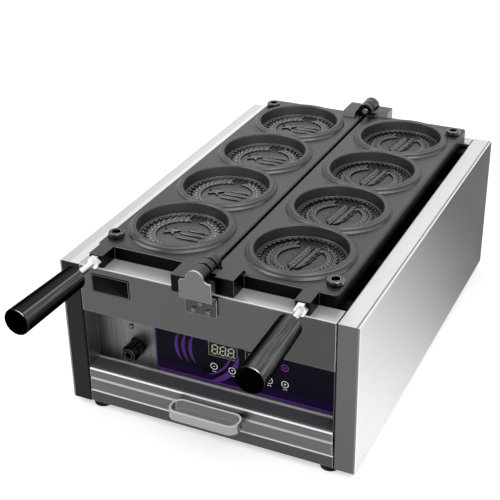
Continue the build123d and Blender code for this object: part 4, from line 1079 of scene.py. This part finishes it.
lightSet = {
    "key": {"at": (1.5, -1.3, 2.2), "aim": (0, 0, 0.15), "size": 1.6, "power": 20},
    "fill": {"at": (-2, -1.6, 1.6), "aim": (0, 0, 0.15), "size": 1.8, "power": 7},
    "back": {"at": (-0.6, 2.2, 1.9), "aim": (0, 0.1, 0.2), "size": 1.6, "power": 4},
}
skySet = {"seen": 1, "lighting": 0.62}
floorSet = {"size": 30, "colour": (0.86, 0.86, 0.86), "roughness": 0.9, "specular": 0.1, "lift": 0.5}
white = (1, 1, 1, 1)


def addLights():
    for name, s in lightSet.items():
        data = bpy.data.lights.new(name, "AREA")
        data.shape = "SQUARE"
        data.size = s["size"]
        data.energy = s["power"]
        lamp = bpy.data.objects.new(name, data)
        bpy.context.scene.collection.objects.link(lamp)
        direction = Vector(s["aim"]) - Vector(s["at"])
        turn = direction.to_track_quat("-Z", "Y").to_matrix()
        lamp.matrix_world = Matrix.Translation(s["at"]) @ turn.to_4x4()


def seenRays(nodes, links):
    path = nodes.new("ShaderNodeLightPath")
    first = mathNode(nodes, links, "ADD", path.outputs["Is Camera Ray"], path.outputs["Is Glossy Ray"])
    return mathNode(nodes, links, "ADD", first, path.outputs["Is Transmission Ray"], clamp=True)


def setSky():
    world = bpy.data.worlds.new("studio")
    bpy.context.scene.world = world
    world.use_nodes = True
    nodes = world.node_tree.nodes
    links = world.node_tree.links
    background = nodes["Background"]
    background.inputs["Color"].default_value = white
    seen = seenRays(nodes, links)
    gap = mathNode(nodes, links, "MULTIPLY", seen, skySet["seen"] - skySet["lighting"])
    links.new(mathNode(nodes, links, "ADD", gap, skySet["lighting"]), background.inputs["Strength"])


def addFloor():
    mesh = bmesh.new()
    bmesh.ops.create_grid(mesh, x_segments=1, y_segments=1, size=floorSet["size"] / 2)
    data = bpy.data.meshes.new("studioFloor")
    mesh.to_mesh(data)
    mesh.free()
    floor = bpy.data.objects.new("studioFloor", data)
    bpy.context.scene.collection.objects.link(floor)
    material = bpy.data.materials.new("studioFloor")
    material.use_nodes = True
    nodes = material.node_tree.nodes
    links = material.node_tree.links
    shader = nodes["Principled BSDF"]
    shader.inputs["Base Color"].default_value = (*floorSet["colour"], 1)
    shader.inputs["Roughness"].default_value = floorSet["roughness"]
    shader.inputs["Specular IOR Level"].default_value = floorSet["specular"]
    shader.inputs["Emission Color"].default_value = white
    links.new(mathNode(nodes, links, "MULTIPLY", seenRays(nodes, links), floorSet["lift"]),
              shader.inputs["Emission Strength"])
    data.materials.append(material)


addLights()
setSky()
addFloor()
bpy.context.scene.view_settings.view_transform = "Standard"
print("floor and lights made")
